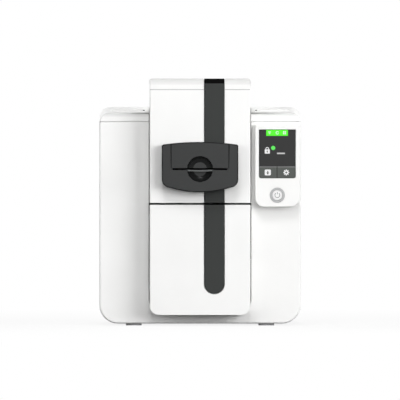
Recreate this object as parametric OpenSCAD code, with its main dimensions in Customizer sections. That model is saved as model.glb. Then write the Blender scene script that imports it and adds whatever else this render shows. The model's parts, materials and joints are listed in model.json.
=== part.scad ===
// Desktop ID card printer: two white shoulders, a tall middle column that opens as a top cover
// and a lower door, a front card slot, and a small touch panel on the right shoulder.
// Millimetres. +Z is up, the front faces -Y, and the origin is on the desk under the middle.

/* [Casing] */
// Width across the two shoulders
body_w = 205; // [198:1:220]
// Depth from the shoulder face to the back
body_d = 338; // [332:1:360]
// Height of the shoulders above the desk
shoulder_h = 222.6; // [219:0.2:226]
// How far the shoulder tops fall towards the front
shoulder_fall = 6; // [3:1:8]
// Length of the sloping part of the shoulder tops
slope_l = 50; // [40:1:60]
// Radius of the bottom corners seen from the front
bottom_corner_r = 19; // [14:1:22]
// Radius of the top corners seen from the front
top_corner_r = 10.5; // [8.5:0.5:12]
// Radius of the top front edge
brow_r = 2; // [1:0.5:4]
// Wall of the plastic mouldings
wall = 2.5; // [2:0.1:3]
// Height of the top caps, down to their seam with the casing
cap_h = 15.4; // [13:0.2:18]
// Width of a seam between two mouldings
seam = 0.4; // [0.2:0.1:0.8]

/* [Column] */
// Width of the middle column
col_w = 102.5; // [100:0.5:106]
// Height of the column above the desk
col_h = 251; // [247:1:256]
// Height of the column's lower edge
col_z0 = 11; // [9:1:14]
// How far the column stands out of the shoulders
col_proud = 28; // [24:1:32]
// Radius of the column's upper front edge
col_brow_r = 5; // [3.5:0.5:7]
// Radius of the door's lower corners
door_corner_r = 10; // [6:1:14]
// Distance of the fine line across the column from its top
brow_line_d = 11; // [8:0.5:14]
// Height of the split between cover and door
split_h = 123.8; // [122:0.2:126]
// Width of the split
split_w = 2; // [1:0.2:3]
// Side gap between the column and the shoulders
side_gap = 0.75; // [0.6:0.05:1.2]
// Width of the dark strip
strip_w = 20.5; // [16:0.5:24]
// Middle of the strip, to the right of the column's middle
strip_x = 14.5; // [12:0.5:18]
// Thickness of the strip, which lies flush in its channel
strip_t = 1.2; // [0.8:0.1:1.4]
// Gap round the strip in its channel
strip_gap = 0.4; // [0.2:0.05:0.6]
// Middle of the round lower end of the strip
strip_end_h = 42.6; // [36:0.2:60]

/* [Card slot bezel] */
// Width of the bezel
bezel_w = 77.6; // [72:0.2:84]
// How far its upper edge rises above the slot at the middle
bezel_rise = 27.6; // [24:0.2:30]
// How far its lower edge falls below the slot at the middle
bezel_drop = 23.5; // [20:0.5:26]
// How far the bezel stands out of the column
bezel_proud = 14; // [10:1:18]
// Width of the flush upper insert
insert_w = 58.4; // [56.4:0.2:62]
// Gap on either side of the upper insert
insert_gap = 0.4; // [0.2:0.05:0.6]
// Thickness of the upper insert
insert_t = 3; // [2:0.5:5]
// Radius of the thumb dish
dish_r = 13.3; // [11:0.1:15]
// Depth of the thumb dish
dish_depth = 5; // [3:0.5:6]
// Radius of the flat floor of the dish
dish_floor_r = 7; // [5:0.5:8]

/* [Control panel] */
// Gap between the column and the panel
panel_gap = 4.75; // [3.5:0.25:7]
// Gap between the panel and the outer side of the shoulder
panel_inset = 1.3; // [0.8:0.1:3]
// Height of the panel
panel_h = 84; // [80:1:86]
// Top of the panel above the desk
panel_top_h = 204.6; // [202:0.2:205.6]
// How far the panel stands out of the shoulder
panel_proud = 11; // [9:1:14]
// Radius of the panel's lower corners
panel_corner_r = 9; // [6:1:11]
// Width of the white frame on either side of the display glass
panel_frame = 4; // [3:0.1:5]
// Height of the display glass
screen_h = 49.5; // [46:0.5:51]
// Thickness of the display glass
lens_t = 1.2; // [0.8:0.1:2]
// Radius of the power button
button_r = 5; // [4:0.1:5.4]
// Travel of the power button
button_travel = 1.2; // [0.8:0.1:1.6]

/* [Card path] */
// Height of the card path, which is the height of the slot
path_h = 159; // [157:0.5:160]
// Width of a card
card_w = 54; // [54:0.1:54.4]
// Length of a card
card_l = 85.6; // [85:0.1:86.4]
// Thickness of a card
card_t = 0.8; // [0.6:0.05:1]
// From the card path down to the deck that carries the mechanism
deck_drop = 38.2; // [37:0.2:40]
// Radius of the driven rollers
roller_r = 7.5; // [7:0.1:8]
// Radius of the roller shafts
shaft_r = 3; // [2.5:0.1:3.5]
// Radial running clearance of shafts and pins
run_fit = 0.05; // [0.03:0.01:0.08]
// Radius of the pinch rollers
pinch_r = 5; // [4.5:0.1:6]
// Teeth of the gear on the platen shaft
gear_teeth = 44; // [40:4:44]
// Teeth of the motor pinion
pinion_teeth = 12; // [12:1:12]
// Radius of the ribbon when a spool is full
ribbon_r = 18; // [14:0.5:19]
// Radius of a spool core
core_r = 8; // [7:0.5:10]
// Travel of the card weight in the hopper
weight_travel = 40; // [20:1:44]

/* [Feet and back] */
// Height of the rubber feet
foot_h = 2; // [1.5:0.5:3]
// Radius of the rubber feet
foot_r = 8; // [6:0.5:10]
// Width of one cooling slot
vent_w = 2.4; // [1.6:0.2:3]
// Number of cooling slots
vent_n = 11; // [5:1:13]

/* [Hidden] */
$fn = 48;
cut = 1; // how far a cutting shape runs past a face
clear = 0.3; // gap between pieces that pass each other

// Casing
y_back = (body_d + col_proud + bezel_proud) / 2;
y_face = y_back - body_d;
y_col = y_face - col_proud;
y_bezel = y_col - bezel_proud;
half_w = body_w / 2;
half_col = col_w / 2;
bay_x = half_col + side_gap; // half width of the bay between the shoulders
edge_r = 2; // front edge of the sides and the bottom
plate_x = half_w - bottom_corner_r - 4; // half width of the bottom plate
plate_t = 2.5;
floor_z = foot_h;
bay_z0 = col_z0 + 3;
cap_seam_h = shoulder_h - cap_h;
groove_w = 8; // shallow tray across the slope of the shoulder tops
groove_t = 0.8;
groove_y = y_face + 22;
groove_half = (half_w - bay_x - 18) / 2;
top_screw_x = 57.8;
top_screw_r = 1.4;
line_w = 0.5; // fine moulded lines

// Column
cover_z0 = split_h + split_w / 2;
door_z1 = split_h - split_w / 2;
skirt_z = shoulder_h - 8; // lower edge of the cover's side walls over the bay
side_in = 10; // how far the cover's side walls reach into the bay
bay_d = 252; // from the shoulder face to the bulkhead
bulkhead_y = y_face + bay_d;
curl_r = 9; // outer radius of the cover's rear edge, about its hinge
hump_gap = 0.8; // between the cover's rear edge and the fixed hump
hinge_y = bulkhead_y - curl_r - hump_gap - wall - clear;
hinge_z = col_h - curl_r;
hinge_pin_r = 2.5;
lug_x = [38, 43.8]; // the fixed hinge lugs
rail_x = [44.2, 48.6]; // the cover's rails and knuckles
hump_y = hinge_y + curl_r + hump_gap; // front of the fixed rear hump
col_edge_r = 2; // upper side edges of the column
front_edge_r = 1.5; // vertical front edges of the column
lug_r = 5.5;
lug_back = 1.2; // from the hinge's axis to the rear side of the lug's arm
curl_pass = 2; // room under the swinging curl

// Door
door_pivot_r = 3.2;
door_pin_r = 1.5;
door_x = -half_col + door_pivot_r;
door_y = y_face - door_pivot_r - clear;
barrel_z = [col_z0 + 13, door_z1 - 28.8]; // lower ends of the door's two hinge barrels
barrel_l = 14;
ear_t = 5;

// Rollers, from the front to the back
roller_z = path_h - card_t / 2 - roller_r;
front_y = y_face + 22;
platen_y = front_y + 66;
transport_y = platen_y + 58;
feed_y = transport_y + 52;
pinch_z = path_h + card_t / 2 + pinch_r;
roller_half = 25;
plate_in = 36; // inner faces of the mechanism's side plates
side_plate_t = 2;
bush_r = shaft_r + 2;
deck_z = path_h - deck_drop; // top of the deck under the mechanism
deck_t = 2.5;

// Belt on the left, gears on the right
pulley_r = 8;
belt_t = 1.2;
belt_w = 5;
pulley_x = -plate_in - side_plate_t - 1.5 - belt_w / 2;
gear_w = 5;
gear_x = plate_in + side_plate_t + 1.5;
tooth_m = 1; // module of the teeth
mesh_d = (gear_teeth + pinion_teeth) * tooth_m / 2 + 0.15;
mesh_angle = 20; // the motor lies in front of the platen and this far below it
motor_y = platen_y - mesh_d * cos(mesh_angle);
motor_z = roller_z - mesh_d * sin(mesh_angle);
motor_a = 28; // side of the square motor
motor_l = 30;

// Ribbon
spool_z = path_h + 38;
takeup_y = platen_y - 50;
supply_y = platen_y + 48;
takeup_r = core_r + 3; // a few turns of used ribbon
ribbon_half = 28;
film_t = 0.25;
film_z = path_h + card_t / 2 + 0.25;

// Print head
head_x = 29;
head_z0 = film_z + film_t + 0.35;
head_h = 30;
head_half_y = 8;

// Hopper
hopper_y0 = transport_y + 14;
hopper_l = card_l + 1.5;
hopper_x = card_w / 2 + 0.6;
hopper_wall = 2;
hopper_z0 = path_h - card_t / 2 - 0.3;
hopper_h = weight_travel + 14;
weight_t = 4;

// Panel
panel_w = half_w - half_col - panel_gap - panel_inset;
panel_cx = half_w - panel_inset - panel_w / 2;
screen_w = panel_w - 2 * panel_frame;
panel_y = y_face - panel_proud;
panel_z0 = panel_top_h - panel_h;
screen_z1 = panel_top_h - 5.3;
screen_z0 = screen_z1 - screen_h;
button_z = panel_z0 + 12;
ring_r = button_r + 2.6;

// Strip and bezel
bezel_top_h = path_h + bezel_rise;
bezel_low_h = path_h - bezel_drop;
slot_half = card_w / 2 + 1;
slot_gap = card_t + 1.2;
bezel_corner_r = 8;
arch_top_r = 265;
arch_low_r = 102;

// ---------- Helpers ----------

// A quarter arc: centre, radius, first and last angle, number of steps.
function arc(c, r, a0, a1, n = 8) =
  [for (i = [0:n]) let (a = a0 + (a1 - a0) * i / n) [c[0] + r * cos(a), c[1] + r * sin(a)]];

// A front-view outline, x and z, made solid from y0 to y1.
module front_solid(y0, y1) translate([0, y1, 0]) rotate([90, 0, 0]) linear_extrude(y1 - y0) children();

// A side-view outline, y and z, made solid from x0 to x1.
module side_solid(x0, x1)
  translate([x0, 0, 0]) rotate([90, 0, 90]) linear_extrude(x1 - x0) children();

// A box between two corners.
module span(a, b) translate(a) cube(b - a);

// A cylinder along Y, X or Z, from one coordinate to another.
module rod_y(x, z, r, y0, y1) translate([x, y0, z]) rotate([-90, 0, 0]) cylinder(r = r, h = y1 - y0);
module rod_x(y, z, r, x0, x1) translate([x0, y, z]) rotate([0, 90, 0]) cylinder(r = r, h = x1 - x0);
module rod_z(x, y, r, z0, z1) translate([x, y, z0]) cylinder(r = r, h = z1 - z0);

// A disc along Y whose front edge is rounded by e.
module edge_disc(x, z, r, y0, y1, e)
  translate([x, y0, z]) rotate([-90, 0, 0]) rotate_extrude($fn = 40)
    polygon(concat([[0, 0]], arc([r - e, e], e, -90, 0, 4), [[r, y1 - y0], [0, y1 - y0]]));

// A rectangle with its own radius at the top and the bottom corners.
module corner_rect(x0, x1, z0, z1, r_top, r_low)
  polygon(concat(
    arc([x1 - r_top, z1 - r_top], r_top, 0, 90), arc([x0 + r_top, z1 - r_top], r_top, 90, 180),
    arc([x0 + r_low, z0 + r_low], r_low, 180, 270), arc([x1 - r_low, z0 + r_low], r_low, 270, 360)
  ));

// ---------- Casing ----------

// The whole outside of the shoulders, shrunk by d for the inside of the mouldings.
module casing_form(d = 0) hull() for (s = [-1, 1]) {
  edge_disc(s * (half_w - bottom_corner_r), floor_z + bottom_corner_r, bottom_corner_r - d,
    y_face + d, y_back - d, max(edge_r - d, 0.5));
  edge_disc(s * (half_w - top_corner_r), shoulder_h - shoulder_fall - top_corner_r,
    top_corner_r - d, y_face + d, y_face + 8, max(brow_r - d, 0.5));
  edge_disc(s * (half_w - top_corner_r), shoulder_h - top_corner_r, top_corner_r - d,
    y_face + slope_l, y_back - d, 0.5);
}

rear_x = half_w - 14; // half width of the rear opening
rear_z0 = floor_z + 16;

module main_casing() color("#f3f3f2") difference() {
  casing_form();
  casing_form(wall);
  span([-half_w - cut, y_face - cut, cap_seam_h], [half_w + cut, y_back + cut, shoulder_h + cut]);
  front_solid(y_face - cut, y_face + 2 * wall)
    corner_rect(-bay_x, bay_x, bay_z0, shoulder_h, 1, door_corner_r + 2);
  span([-rear_x, y_back - 2 * wall, rear_z0], [rear_x, y_back + cut, shoulder_h]);
  span([-plate_x, y_face + 6, floor_z - cut], [plate_x, y_back - 6, floor_z + 2 * wall]);
}

// One shoulder's top: the casing's form above the seam, with an inner wall beside the column.
module top_cap(s) color("#f4f4f3") difference() {
  intersection() {
    casing_form();
    span([min(s * bay_x, s * half_w), y_face - cut, cap_seam_h + seam],
      [max(s * bay_x, s * half_w), y_back + cut, shoulder_h + cut]);
  }
  intersection() {
    casing_form(wall);
    span([min(s * (bay_x + wall), s * half_w), y_face, 0],
      [max(s * (bay_x + wall), s * half_w), y_back - wall, shoulder_h]);
  }
  // a shallow tray across the slope, with a sunk screw in a short slot at its inner end
  rake = atan(shoulder_fall / (slope_l - 8));
  translate([s * (top_screw_x + groove_half), groove_y, slope_z(groove_y)]) rotate([rake, 0, 0])
    cube([2 * groove_half, groove_w, 2 * groove_t], center = true);
  hull() for (y = [-1, 1])
    rod_z(s * top_screw_x, groove_y + 2.4 * y, top_screw_r + 0.2, slope_z(groove_y) - wall - cut,
      shoulder_h + cut);
}

// Height of the shoulder tops' slope at y.
function slope_z(y) =
  shoulder_h - shoulder_fall * (y_face + slope_l - y) / (slope_l - 8);

module left_top_cap() top_cap(-1);
module right_top_cap() top_cap(1);

module casing_screws() color("#6d7072") {
  for (s = [-1, 1])
    rod_z(s * top_screw_x, groove_y, top_screw_r, slope_z(groove_y) - 6, slope_z(groove_y) - 2);
  for (s = [-1, 1], y = [y_face + 30, y_back - 30])
    rod_z(s * (plate_x - 10), y, 3, floor_z - 1, floor_z);
}

module bottom_plate() color("#d9dadb")
  span([-plate_x + 0.2, y_face + 6.2, floor_z], [plate_x - 0.2, y_back - 6.2, floor_z + plate_t]);

module rubber_feet() color("#2b2c2d")
  for (s = [-1, 1], y = [y_face + 16, y_back - 16]) rod_z(s * (plate_x - 12), y, foot_r, 0, floor_z);

inlet_x = -60;
usb_x = -30;
lan_x = -4;
port_z = 34;
port_y = y_back - wall - 14; // front of the sockets

// The rear panel with its cut-outs for the sockets, cooling slots and lock slot.
vent_half = 42;
vent_pitch = 5.4;
vent_z0 = 120;
module rear_panel() color("#ececeb") difference() {
  span([-rear_x + 0.2, y_back - wall, rear_z0 + 0.2], [rear_x - 0.2, y_back, cap_seam_h]);
  rod_y(inlet_x, port_z, 5.2, y_back - wall - cut, y_back + cut);
  span([usb_x - 6.2, y_back - wall - cut, port_z - 5.7], [usb_x + 6.2, y_back + cut, port_z + 5.7]);
  span([lan_x - 8.2, y_back - wall - cut, port_z - 7], [lan_x + 8.2, y_back + cut, port_z + 7]);
  for (i = [0:vent_n - 1])
    translate([0, 0, vent_z0 + i * vent_pitch])
      span([-vent_half, y_back - wall - cut, 0], [vent_half, y_back + cut, vent_w]);
  span([66.5, y_back - wall - cut, port_z - 1.6], [73.5, y_back + cut, port_z + 1.6]);
}

// The fixed rear part of the column, behind the cover.
module rear_hump_cover() color("#f4f4f3") difference() {
  intersection() {
    side_solid(-half_col, half_col) polygon(hump_line(0));
    front_solid(hump_y - cut, y_back + cut) column_outline();
  }
  side_solid(-half_col + wall, half_col - wall) polygon(hump_line(wall));
  // slots for the hinge lugs
  for (s = [-1, 1])
    span([min(s * lug_x[0], s * lug_x[1]) - clear, hump_y - cut, cap_seam_h],
      [max(s * lug_x[0], s * lug_x[1]) + clear, hump_y + wall + cut, hinge_z - 3]);
}
// Side view of the hump, shrunk by d for its hollow.
hump_r = 6; // upper rear edge
function hump_line(d) = let (z0 = cap_seam_h + seam - (d > 0 ? cut : 0)) concat(
  [[hump_y + d, z0], [hump_y + d, col_h - d]],
  arc([y_back - hump_r, col_h - hump_r], hump_r - d, 90, 0), [[y_back - d, z0]]);
// Front view of the column above the shoulders, with its upper side edges rounded.
module column_outline() corner_rect(-half_col, half_col, 0, col_h, col_edge_r, 1);

// ---------- Inner frame ----------

frame_t = 2;
frame_top = cap_seam_h - 1;
frame_z0 = floor_z + plate_t;
frame_y0 = y_face + wall;

drop_half = card_w / 2 + 6; // half width of the slot that rejected cards fall through
drop_y = [frame_y0 + 5, frame_y0 + 20];
side_window = 36;
side_window_y = [y_face + 70, y_face + 150];
side_window_z = 66;

module bay_frame() color("#c9ccce") {
  difference() {
    union() {
      for (s = [-1, 1])
        span([min(s * bay_x, s * (bay_x + frame_t)), frame_y0, frame_z0],
          [max(s * bay_x, s * (bay_x + frame_t)), bulkhead_y + frame_t, frame_top]);
      // bulkhead behind the mechanism, and the deck under it, clear of the cover's side walls
      span([-bay_x, bulkhead_y, frame_z0], [bay_x, bulkhead_y + frame_t, frame_top]);
      span([-half_col + wall + clear, bulkhead_y, frame_z0],
        [half_col - wall - clear, bulkhead_y + frame_t, hinge_z - 6]);
      span([-bay_x, y_face + side_in + clear, deck_z - deck_t], [bay_x, bulkhead_y, deck_z]);
      span([-half_col + wall + clear, frame_y0, deck_z - deck_t],
        [half_col - wall - clear, bulkhead_y, deck_z]);
      for (s = [-1, 1]) hinge_lug(s);
      for (z = barrel_z) door_ear(z + barrel_l + clear);
    }
    // card drop slot at the front of the deck, cable window in the bulkhead, windows in the sides
    span([-drop_half, drop_y[0], deck_z - deck_t - cut], [drop_half, drop_y[1], deck_z + cut]);
    span([-16, bulkhead_y - cut, side_window_z - 4],
      [16, bulkhead_y + frame_t + cut, side_window_z + 16]);
    for (s = [-1, 1], y = side_window_y)
      translate([s * (bay_x + frame_t / 2), y, side_window_z])
        cube([2 * frame_t, side_window, side_window], center = true);
    for (s = [-1, 1])
      rod_x(hinge_y, hinge_z, hinge_pin_r, min(s * lug_x[0], s * lug_x[1]) - cut,
        max(s * lug_x[0], s * lug_x[1]) + cut);
    for (z = barrel_z)
      rod_z(door_x, door_y, door_pin_r, z + barrel_l - cut, z + barrel_l + ear_t + 2);
  }
}

// A fixed lug like a goose neck: forward from the bulkhead, under the swing of the cover's curl,
// and up to the hinge.
lug_z = hinge_z - curl_r - curl_pass;
module hinge_lug(s) side_solid(min(s * lug_x[0], s * lug_x[1]), max(s * lug_x[0], s * lug_x[1]))
  polygon(concat(arc([hinge_y, hinge_z], lug_r, asin(lug_back / lug_r) - 90, 190, 20),
    [[hinge_y - 3.5, lug_z - 6], [bulkhead_y + frame_t, lug_z - 13], [bulkhead_y + frame_t, lug_z],
      [hinge_y + lug_back, lug_z]]));

// A fixed ear that reaches out of the bay to the door's hinge pin.
module door_ear(z) {
  rod_z(door_x, door_y, door_pivot_r - 0.2, z, z + ear_t);
  span([door_x - 1.5, door_y, z], [door_x + 1.5, frame_y0 + 6, z + ear_t]);
  span([-bay_x - frame_t, frame_y0, z], [door_x + 1.5, frame_y0 + 6, z + ear_t]);
}

module cover_hinge_pins() color("#9a9d9f") for (s = [-1, 1])
  rod_x(hinge_y, hinge_z, hinge_pin_r, min(s * lug_x[0], s * rail_x[1]),
    max(s * lug_x[0], s * rail_x[1]));

module door_hinge_pins() color("#9a9d9f") for (z = barrel_z)
  rod_z(door_x, door_y, door_pin_r, z + 3, z + barrel_l + clear + ear_t);

// An open bin for rejected cards, with a finger dip in its front wall.
bin_x = 44;
bin_l = 110;
bin_h = 52;
bin_t = 2;
module reject_bin() color("#3c3d3f") difference() {
  span([-bin_x, frame_y0 + 2, frame_z0], [bin_x, frame_y0 + 2 + bin_l, frame_z0 + bin_h]);
  span([-bin_x + bin_t, frame_y0 + 2 + bin_t, frame_z0 + bin_t],
    [bin_x - bin_t, frame_y0 + 2 + bin_l - bin_t, frame_z0 + bin_h + cut]);
  front_solid(frame_y0, frame_y0 + 2 + 2 * bin_t) translate([0, frame_z0 + bin_h + 4])
    circle(r = bin_x / 2);
}

// The fixed catch in the bay, just under the cover's striker.
catch_z = cap_seam_h - 7.6;
module cover_catch() color("#8e9193") {
  span([-bay_x, y_face + 11, catch_z - 3], [-bay_x + 5.5, y_face + 20, catch_z]);
  span([-bay_x, y_face + 11, catch_z - 11], [-bay_x + 1.2, y_face + 24, catch_z]);
}

// The magnet that holds the door by its strike plate.
magnet_z = [door_z1 - 54.8, door_z1 - 36.8];
module door_magnet() color("#6a6d70") {
  span([half_col - wall - 7.5, y_face - 1.9, magnet_z[0] + 2],
    [half_col - wall - clear, frame_y0 + 5, magnet_z[1] - 2]);
  span([half_col - wall - 7.5, frame_y0, magnet_z[0]], [bay_x, frame_y0 + 5, magnet_z[1]]);
}

// ---------- Boards and sockets ----------

// The main board on four posts beside the bay, with its processor, capacitors and connectors.
board_y = [y_face + 60, y_back - 40];
board_z = [30, 150];
board_t = 1.6;
module main_board() color("#2f6b46") {
  board_x = bay_x + frame_t + 6;
  on_x = board_x + board_t;
  span([board_x, board_y[0], board_z[0]], [on_x, board_y[1], board_z[1]]);
  for (y = [board_y[0] + 6, board_y[1] - 6], z = [board_z[0] + 6, board_z[1] - 6])
    rod_x(y, z, 3, bay_x + frame_t, board_x);
  span([on_x, board_y[0] + 50, board_z[0] + 50], [on_x + 2.4, board_y[0] + 76, board_z[0] + 76]);
  for (i = [0:3]) rod_x(board_y[0] + 110 + i * 14, board_z[0] + 20, 5, on_x, on_x + 12.4);
  for (i = [0:2])
    span([on_x, board_y[0] + 20 + i * 30, board_z[1] - 20],
      [on_x + 7.4, board_y[0] + 38 + i * 30, board_z[1] - 13]);
  // the second, small board that carries the sockets behind the rear panel
  span([inlet_x - 10, port_y - board_t, frame_z0], [lan_x + 12, port_y, port_z + 14]);
}

// Sockets on the small board: power, USB and network.

module power_inlet() color("#1f2021") difference() {
  rod_y(inlet_x, port_z, 5, port_y, y_back - 0.4);
  rod_y(inlet_x, port_z, 3.2, port_y + 3, y_back);
}
module usb_port() color("#b9bcbf") difference() {
  span([usb_x - 6, port_y, port_z - 5.5], [usb_x + 6, y_back - 0.4, port_z + 5.5]);
  span([usb_x - 4.2, port_y + 3, port_z - 3.8], [usb_x + 4.2, y_back, port_z + 3.8]);
}
module ethernet_port() color("#b9bcbf") difference() {
  span([lan_x - 8, port_y, port_z - 6.8], [lan_x + 8, y_back - 0.4, port_z + 6.8]);
  span([lan_x - 5.8, port_y + 3, port_z - 4], [lan_x + 5.8, y_back, port_z + 4]);
}

// ---------- Control panel on the right shoulder ----------

module panel_housing() color("#f5f5f4") difference() {
  hull() for (s = [-1, 1]) {
    edge_disc(panel_cx + s * (panel_w / 2 - 2), panel_top_h - 2, 2, panel_y, y_face, 1);
    edge_disc(panel_cx + s * (panel_w / 2 - panel_corner_r), panel_z0 + panel_corner_r,
      panel_corner_r, panel_y, y_face, 1);
  }
  front_solid(panel_y - cut, panel_y + lens_t + 5) screen_outline(0.15);
  rod_y(panel_cx, button_z, ring_r + 0.1, panel_y - cut, panel_y + 2);
  rod_y(panel_cx, button_z, button_r + clear, panel_y - cut, panel_y + 5 + button_travel);
}

// The display glass seen from the front, grown by d.
module screen_outline(d = 0)
  corner_rect(panel_cx - screen_w / 2 - d, panel_cx + screen_w / 2 + d, screen_z0 - d, screen_z1 + d,
    0.6 + d, 2.5 + d);

module display_module() color("#222325")
  front_solid(panel_y + lens_t, panel_y + lens_t + 5) screen_outline(0);

module touch_lens() color("#3c3c3c") front_solid(panel_y, panel_y + lens_t) screen_outline(0);

module power_button_ring() color("#b9b9b9") difference() {
  rod_y(panel_cx, button_z, ring_r, panel_y - 0.4, panel_y + 2);
  rod_y(panel_cx, button_z, button_r + clear, panel_y - cut, panel_y + 2 + cut);
}

module power_button() color("#f2f2f2")
  rod_y(panel_cx, button_z, button_r, panel_y - 0.6, panel_y + 4.7);

// ---------- Cover ----------

// Side view of the cover's skin, shrunk by d: front wall, round brow, top, and the rear curl.
function cover_line(d, z0) = concat(
  [[y_col + d, z0]],
  arc([y_col + col_brow_r, col_h - col_brow_r], col_brow_r - d, 180, 90),
  arc([hinge_y, hinge_z], curl_r - d, 90, 0)
);

// Plan view of the column, with its vertical front edges rounded.
module column_plan() polygon(concat([[half_col, y_back], [-half_col, y_back]],
  arc([-half_col + front_edge_r, y_col + front_edge_r], front_edge_r, 180, 270),
  arc([half_col - front_edge_r, y_col + front_edge_r], front_edge_r, 270, 360)));

module cover_shell() color("#f7f7f6") difference() {
  intersection() {
    side_solid(-half_col, half_col) polygon(concat(cover_line(0, cover_z0),
      [[hinge_y + curl_r, skirt_z], [y_face + side_in, skirt_z], [y_face + side_in, cover_z0]]));
    front_solid(y_col - cut, y_back) column_outline();
    // plan view, with the vertical front edges rounded
    linear_extrude(col_h) column_plan();
  }
  // the hollow, open below over the bay
  side_solid(-half_col + wall, half_col - wall) polygon(concat(cover_line(wall, cover_z0 + wall),
    [[hinge_y + curl_r + cut, hinge_z], [hinge_y + curl_r + cut, skirt_z - 10],
      [y_face + 2 * side_in, skirt_z - 10], [y_face + 2 * side_in, cover_z0 - cut],
      [y_face - 0.5, cover_z0 - cut], [y_face - 0.5, cover_z0 + wall]]));
  strip_channel(cover_z0 - cut);
  // the fine line across the front, below the brow
  span([-half_col - cut, y_col - cut, col_h - brow_line_d - line_w],
    [half_col + cut, y_col + line_w, col_h - brow_line_d]);
  // the card's way through the front wall
  span([-throat_x - 0.2, y_col - cut, path_h - throat_z - 0.2],
    [throat_x + 0.2, y_col + wall + cut, path_h + throat_z + 0.2]);
}

// The strip's band between its floor and the skin, over the brow to the back of the cover.
strip_back_y = hinge_y - 12;
module strip_band(z0, d) intersection() {
  side_solid(strip_x - strip_w / 2 - d, strip_x + strip_w / 2 + d)
    polygon(concat([[y_col - (d > 0 ? cut : 0), z0]], cover_skin(d > 0 ? -cut : 0), cover_floor(),
      [[y_col + strip_t, z0]]));
  span([-half_col, y_col - cut, z0], [half_col, strip_back_y + d, col_h + cut]);
}
function cover_skin(d) = concat(
  arc([y_col + col_brow_r, col_h - col_brow_r], col_brow_r - d, 180, 90), [[hinge_y, col_h - d]]);
function cover_floor() = concat([[hinge_y, col_h - strip_t]],
  arc([y_col + col_brow_r, col_h - col_brow_r], col_brow_r - strip_t, 90, 180));

module strip_channel(z0) strip_band(z0, strip_gap);
module strip_upper() color("#424343") difference() {
  strip_band(cover_z0, 0);
  // the bezel's throat passes through it
  span([-throat_x - clear, y_col - cut, path_h - throat_z - clear],
    [throat_x + clear, y_col + strip_t + cut, path_h + throat_z + clear]);
}

// Front view of the bezel: an arched top, straight sides and a bowed lower edge.
function bezel_side_z(x) = bezel_low_h + arch_low_r - sqrt(arch_low_r * arch_low_r - x * x);
function bezel_top_z(x) = bezel_top_h - arch_top_r + sqrt(arch_top_r * arch_top_r - x * x);
bezel_tip_r = 1.5; // its upper corners
function bezel_outline() =
  let (hw = bezel_w / 2, n = 16, r = bezel_tip_r, xt = hw - r, xc = hw - bezel_corner_r) concat(
  [for (i = [0:n]) let (x = xt - 2 * xt * i / n) [x, bezel_top_z(x)]],
  arc([-xt, bezel_top_z(hw) - r], r, 135, 180, 3),
  arc([-xc, bezel_side_z(xc) + bezel_corner_r], bezel_corner_r, 180, 265, 6),
  [for (i = [1:n - 1]) let (x = -xc + 2 * xc * i / n) [x, bezel_side_z(x)]],
  arc([xc, bezel_side_z(xc) + bezel_corner_r], bezel_corner_r, 275, 360, 6),
  arc([xt, bezel_top_z(hw) - r], r, 0, 45, 3));

// The thumb dish: a ball's cap with a flat floor.
dish_c = (dish_r * dish_r - dish_floor_r * dish_floor_r - dish_depth * dish_depth) / (2 * dish_depth);
module dish() intersection() {
  translate([0, y_bezel - dish_c, path_h]) sphere(r = sqrt(dish_r * dish_r + dish_c * dish_c), $fn = 96);
  span([-30, y_bezel - cut, path_h - 30], [30, y_bezel + dish_depth, path_h + 30]);
}

throat_x = slot_half + 1.6; // the bezel's throat reaches through the column's front wall
throat_z = slot_gap / 2 + 1.6;
throat_y = y_face - 3;
module card_slot() span([-slot_half, y_bezel - cut, path_h - slot_gap / 2],
  [slot_half, throat_y + cut, path_h + slot_gap / 2]);

module slot_bezel() color("#414242") difference() {
  union() {
    front_solid(y_bezel, y_col) polygon(bezel_outline());
    span([-throat_x, y_col - cut, path_h - throat_z], [throat_x, throat_y, path_h + throat_z]);
  }
  span([-insert_w / 2 - insert_gap, y_bezel - cut, path_h + slot_gap / 2 - 0.1],
    [insert_w / 2 + insert_gap, y_bezel + insert_t, bezel_top_h + cut]);
  card_slot();
  dish();
}

module slot_insert() color("#454646") difference() {
  intersection() {
    front_solid(y_bezel, y_bezel + insert_t) polygon(bezel_outline());
    span([-insert_w / 2, y_bezel - cut, path_h + slot_gap / 2],
      [insert_w / 2, y_bezel + insert_t, bezel_top_h + cut]);
  }
  dish();
}

// Rails under the cover's top, their hinge knuckles and the cross bars.
top_in = col_h - wall;
bar_y = [y_face + 12, platen_y, platen_y + 96]; // the cross bars
bar_t = 6;
module cover_frame() color("#55585a") difference() {
  union() {
    for (s = [-1, 1]) {
      span([min(s * rail_x[0], s * rail_x[1]), y_col + 12, top_in - 8],
        [max(s * rail_x[0], s * rail_x[1]), hinge_y, top_in]);
      rod_x(hinge_y, hinge_z, curl_r - wall - 0.2, min(s * rail_x[0], s * rail_x[1]),
        max(s * rail_x[0], s * rail_x[1]));
    }
    for (y = bar_y) span([-rail_x[0], y - 5, top_in - bar_t], [rail_x[0], y + 5, top_in]);
  }
  for (s = [-1, 1])
    rod_x(hinge_y, hinge_z, hinge_pin_r + run_fit, min(s * rail_x[0], s * rail_x[1]) - cut,
      max(s * rail_x[0], s * rail_x[1]) + cut);
}

module printhead_bracket() color("#a9adb0") {
  for (s = [-1, 1])
    span([min(s * head_x, s * (head_x + 2)), platen_y - head_half_y, head_z0 + 0.4 * head_h],
      [max(s * head_x, s * (head_x + 2)), platen_y + head_half_y, top_in - bar_t]);
  span([-head_x, platen_y - 2, head_z0 + head_h], [head_x, platen_y, top_in - bar_t]);
}

// The print head tapers down to a narrow heating edge above the platen.
module print_head() color("#26282a") side_solid(-head_x, head_x) polygon([
  [platen_y - head_half_y, head_z0 + head_h], [platen_y - head_half_y, head_z0 + head_h / 3],
  [platen_y - 2.5, head_z0 + 1],
  [platen_y - 1.2, head_z0], [platen_y + 1.2, head_z0], [platen_y + 2.5, head_z0 + 1],
  [platen_y + head_half_y, head_z0 + head_h / 3], [platen_y + head_half_y, head_z0 + head_h]]);

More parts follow.
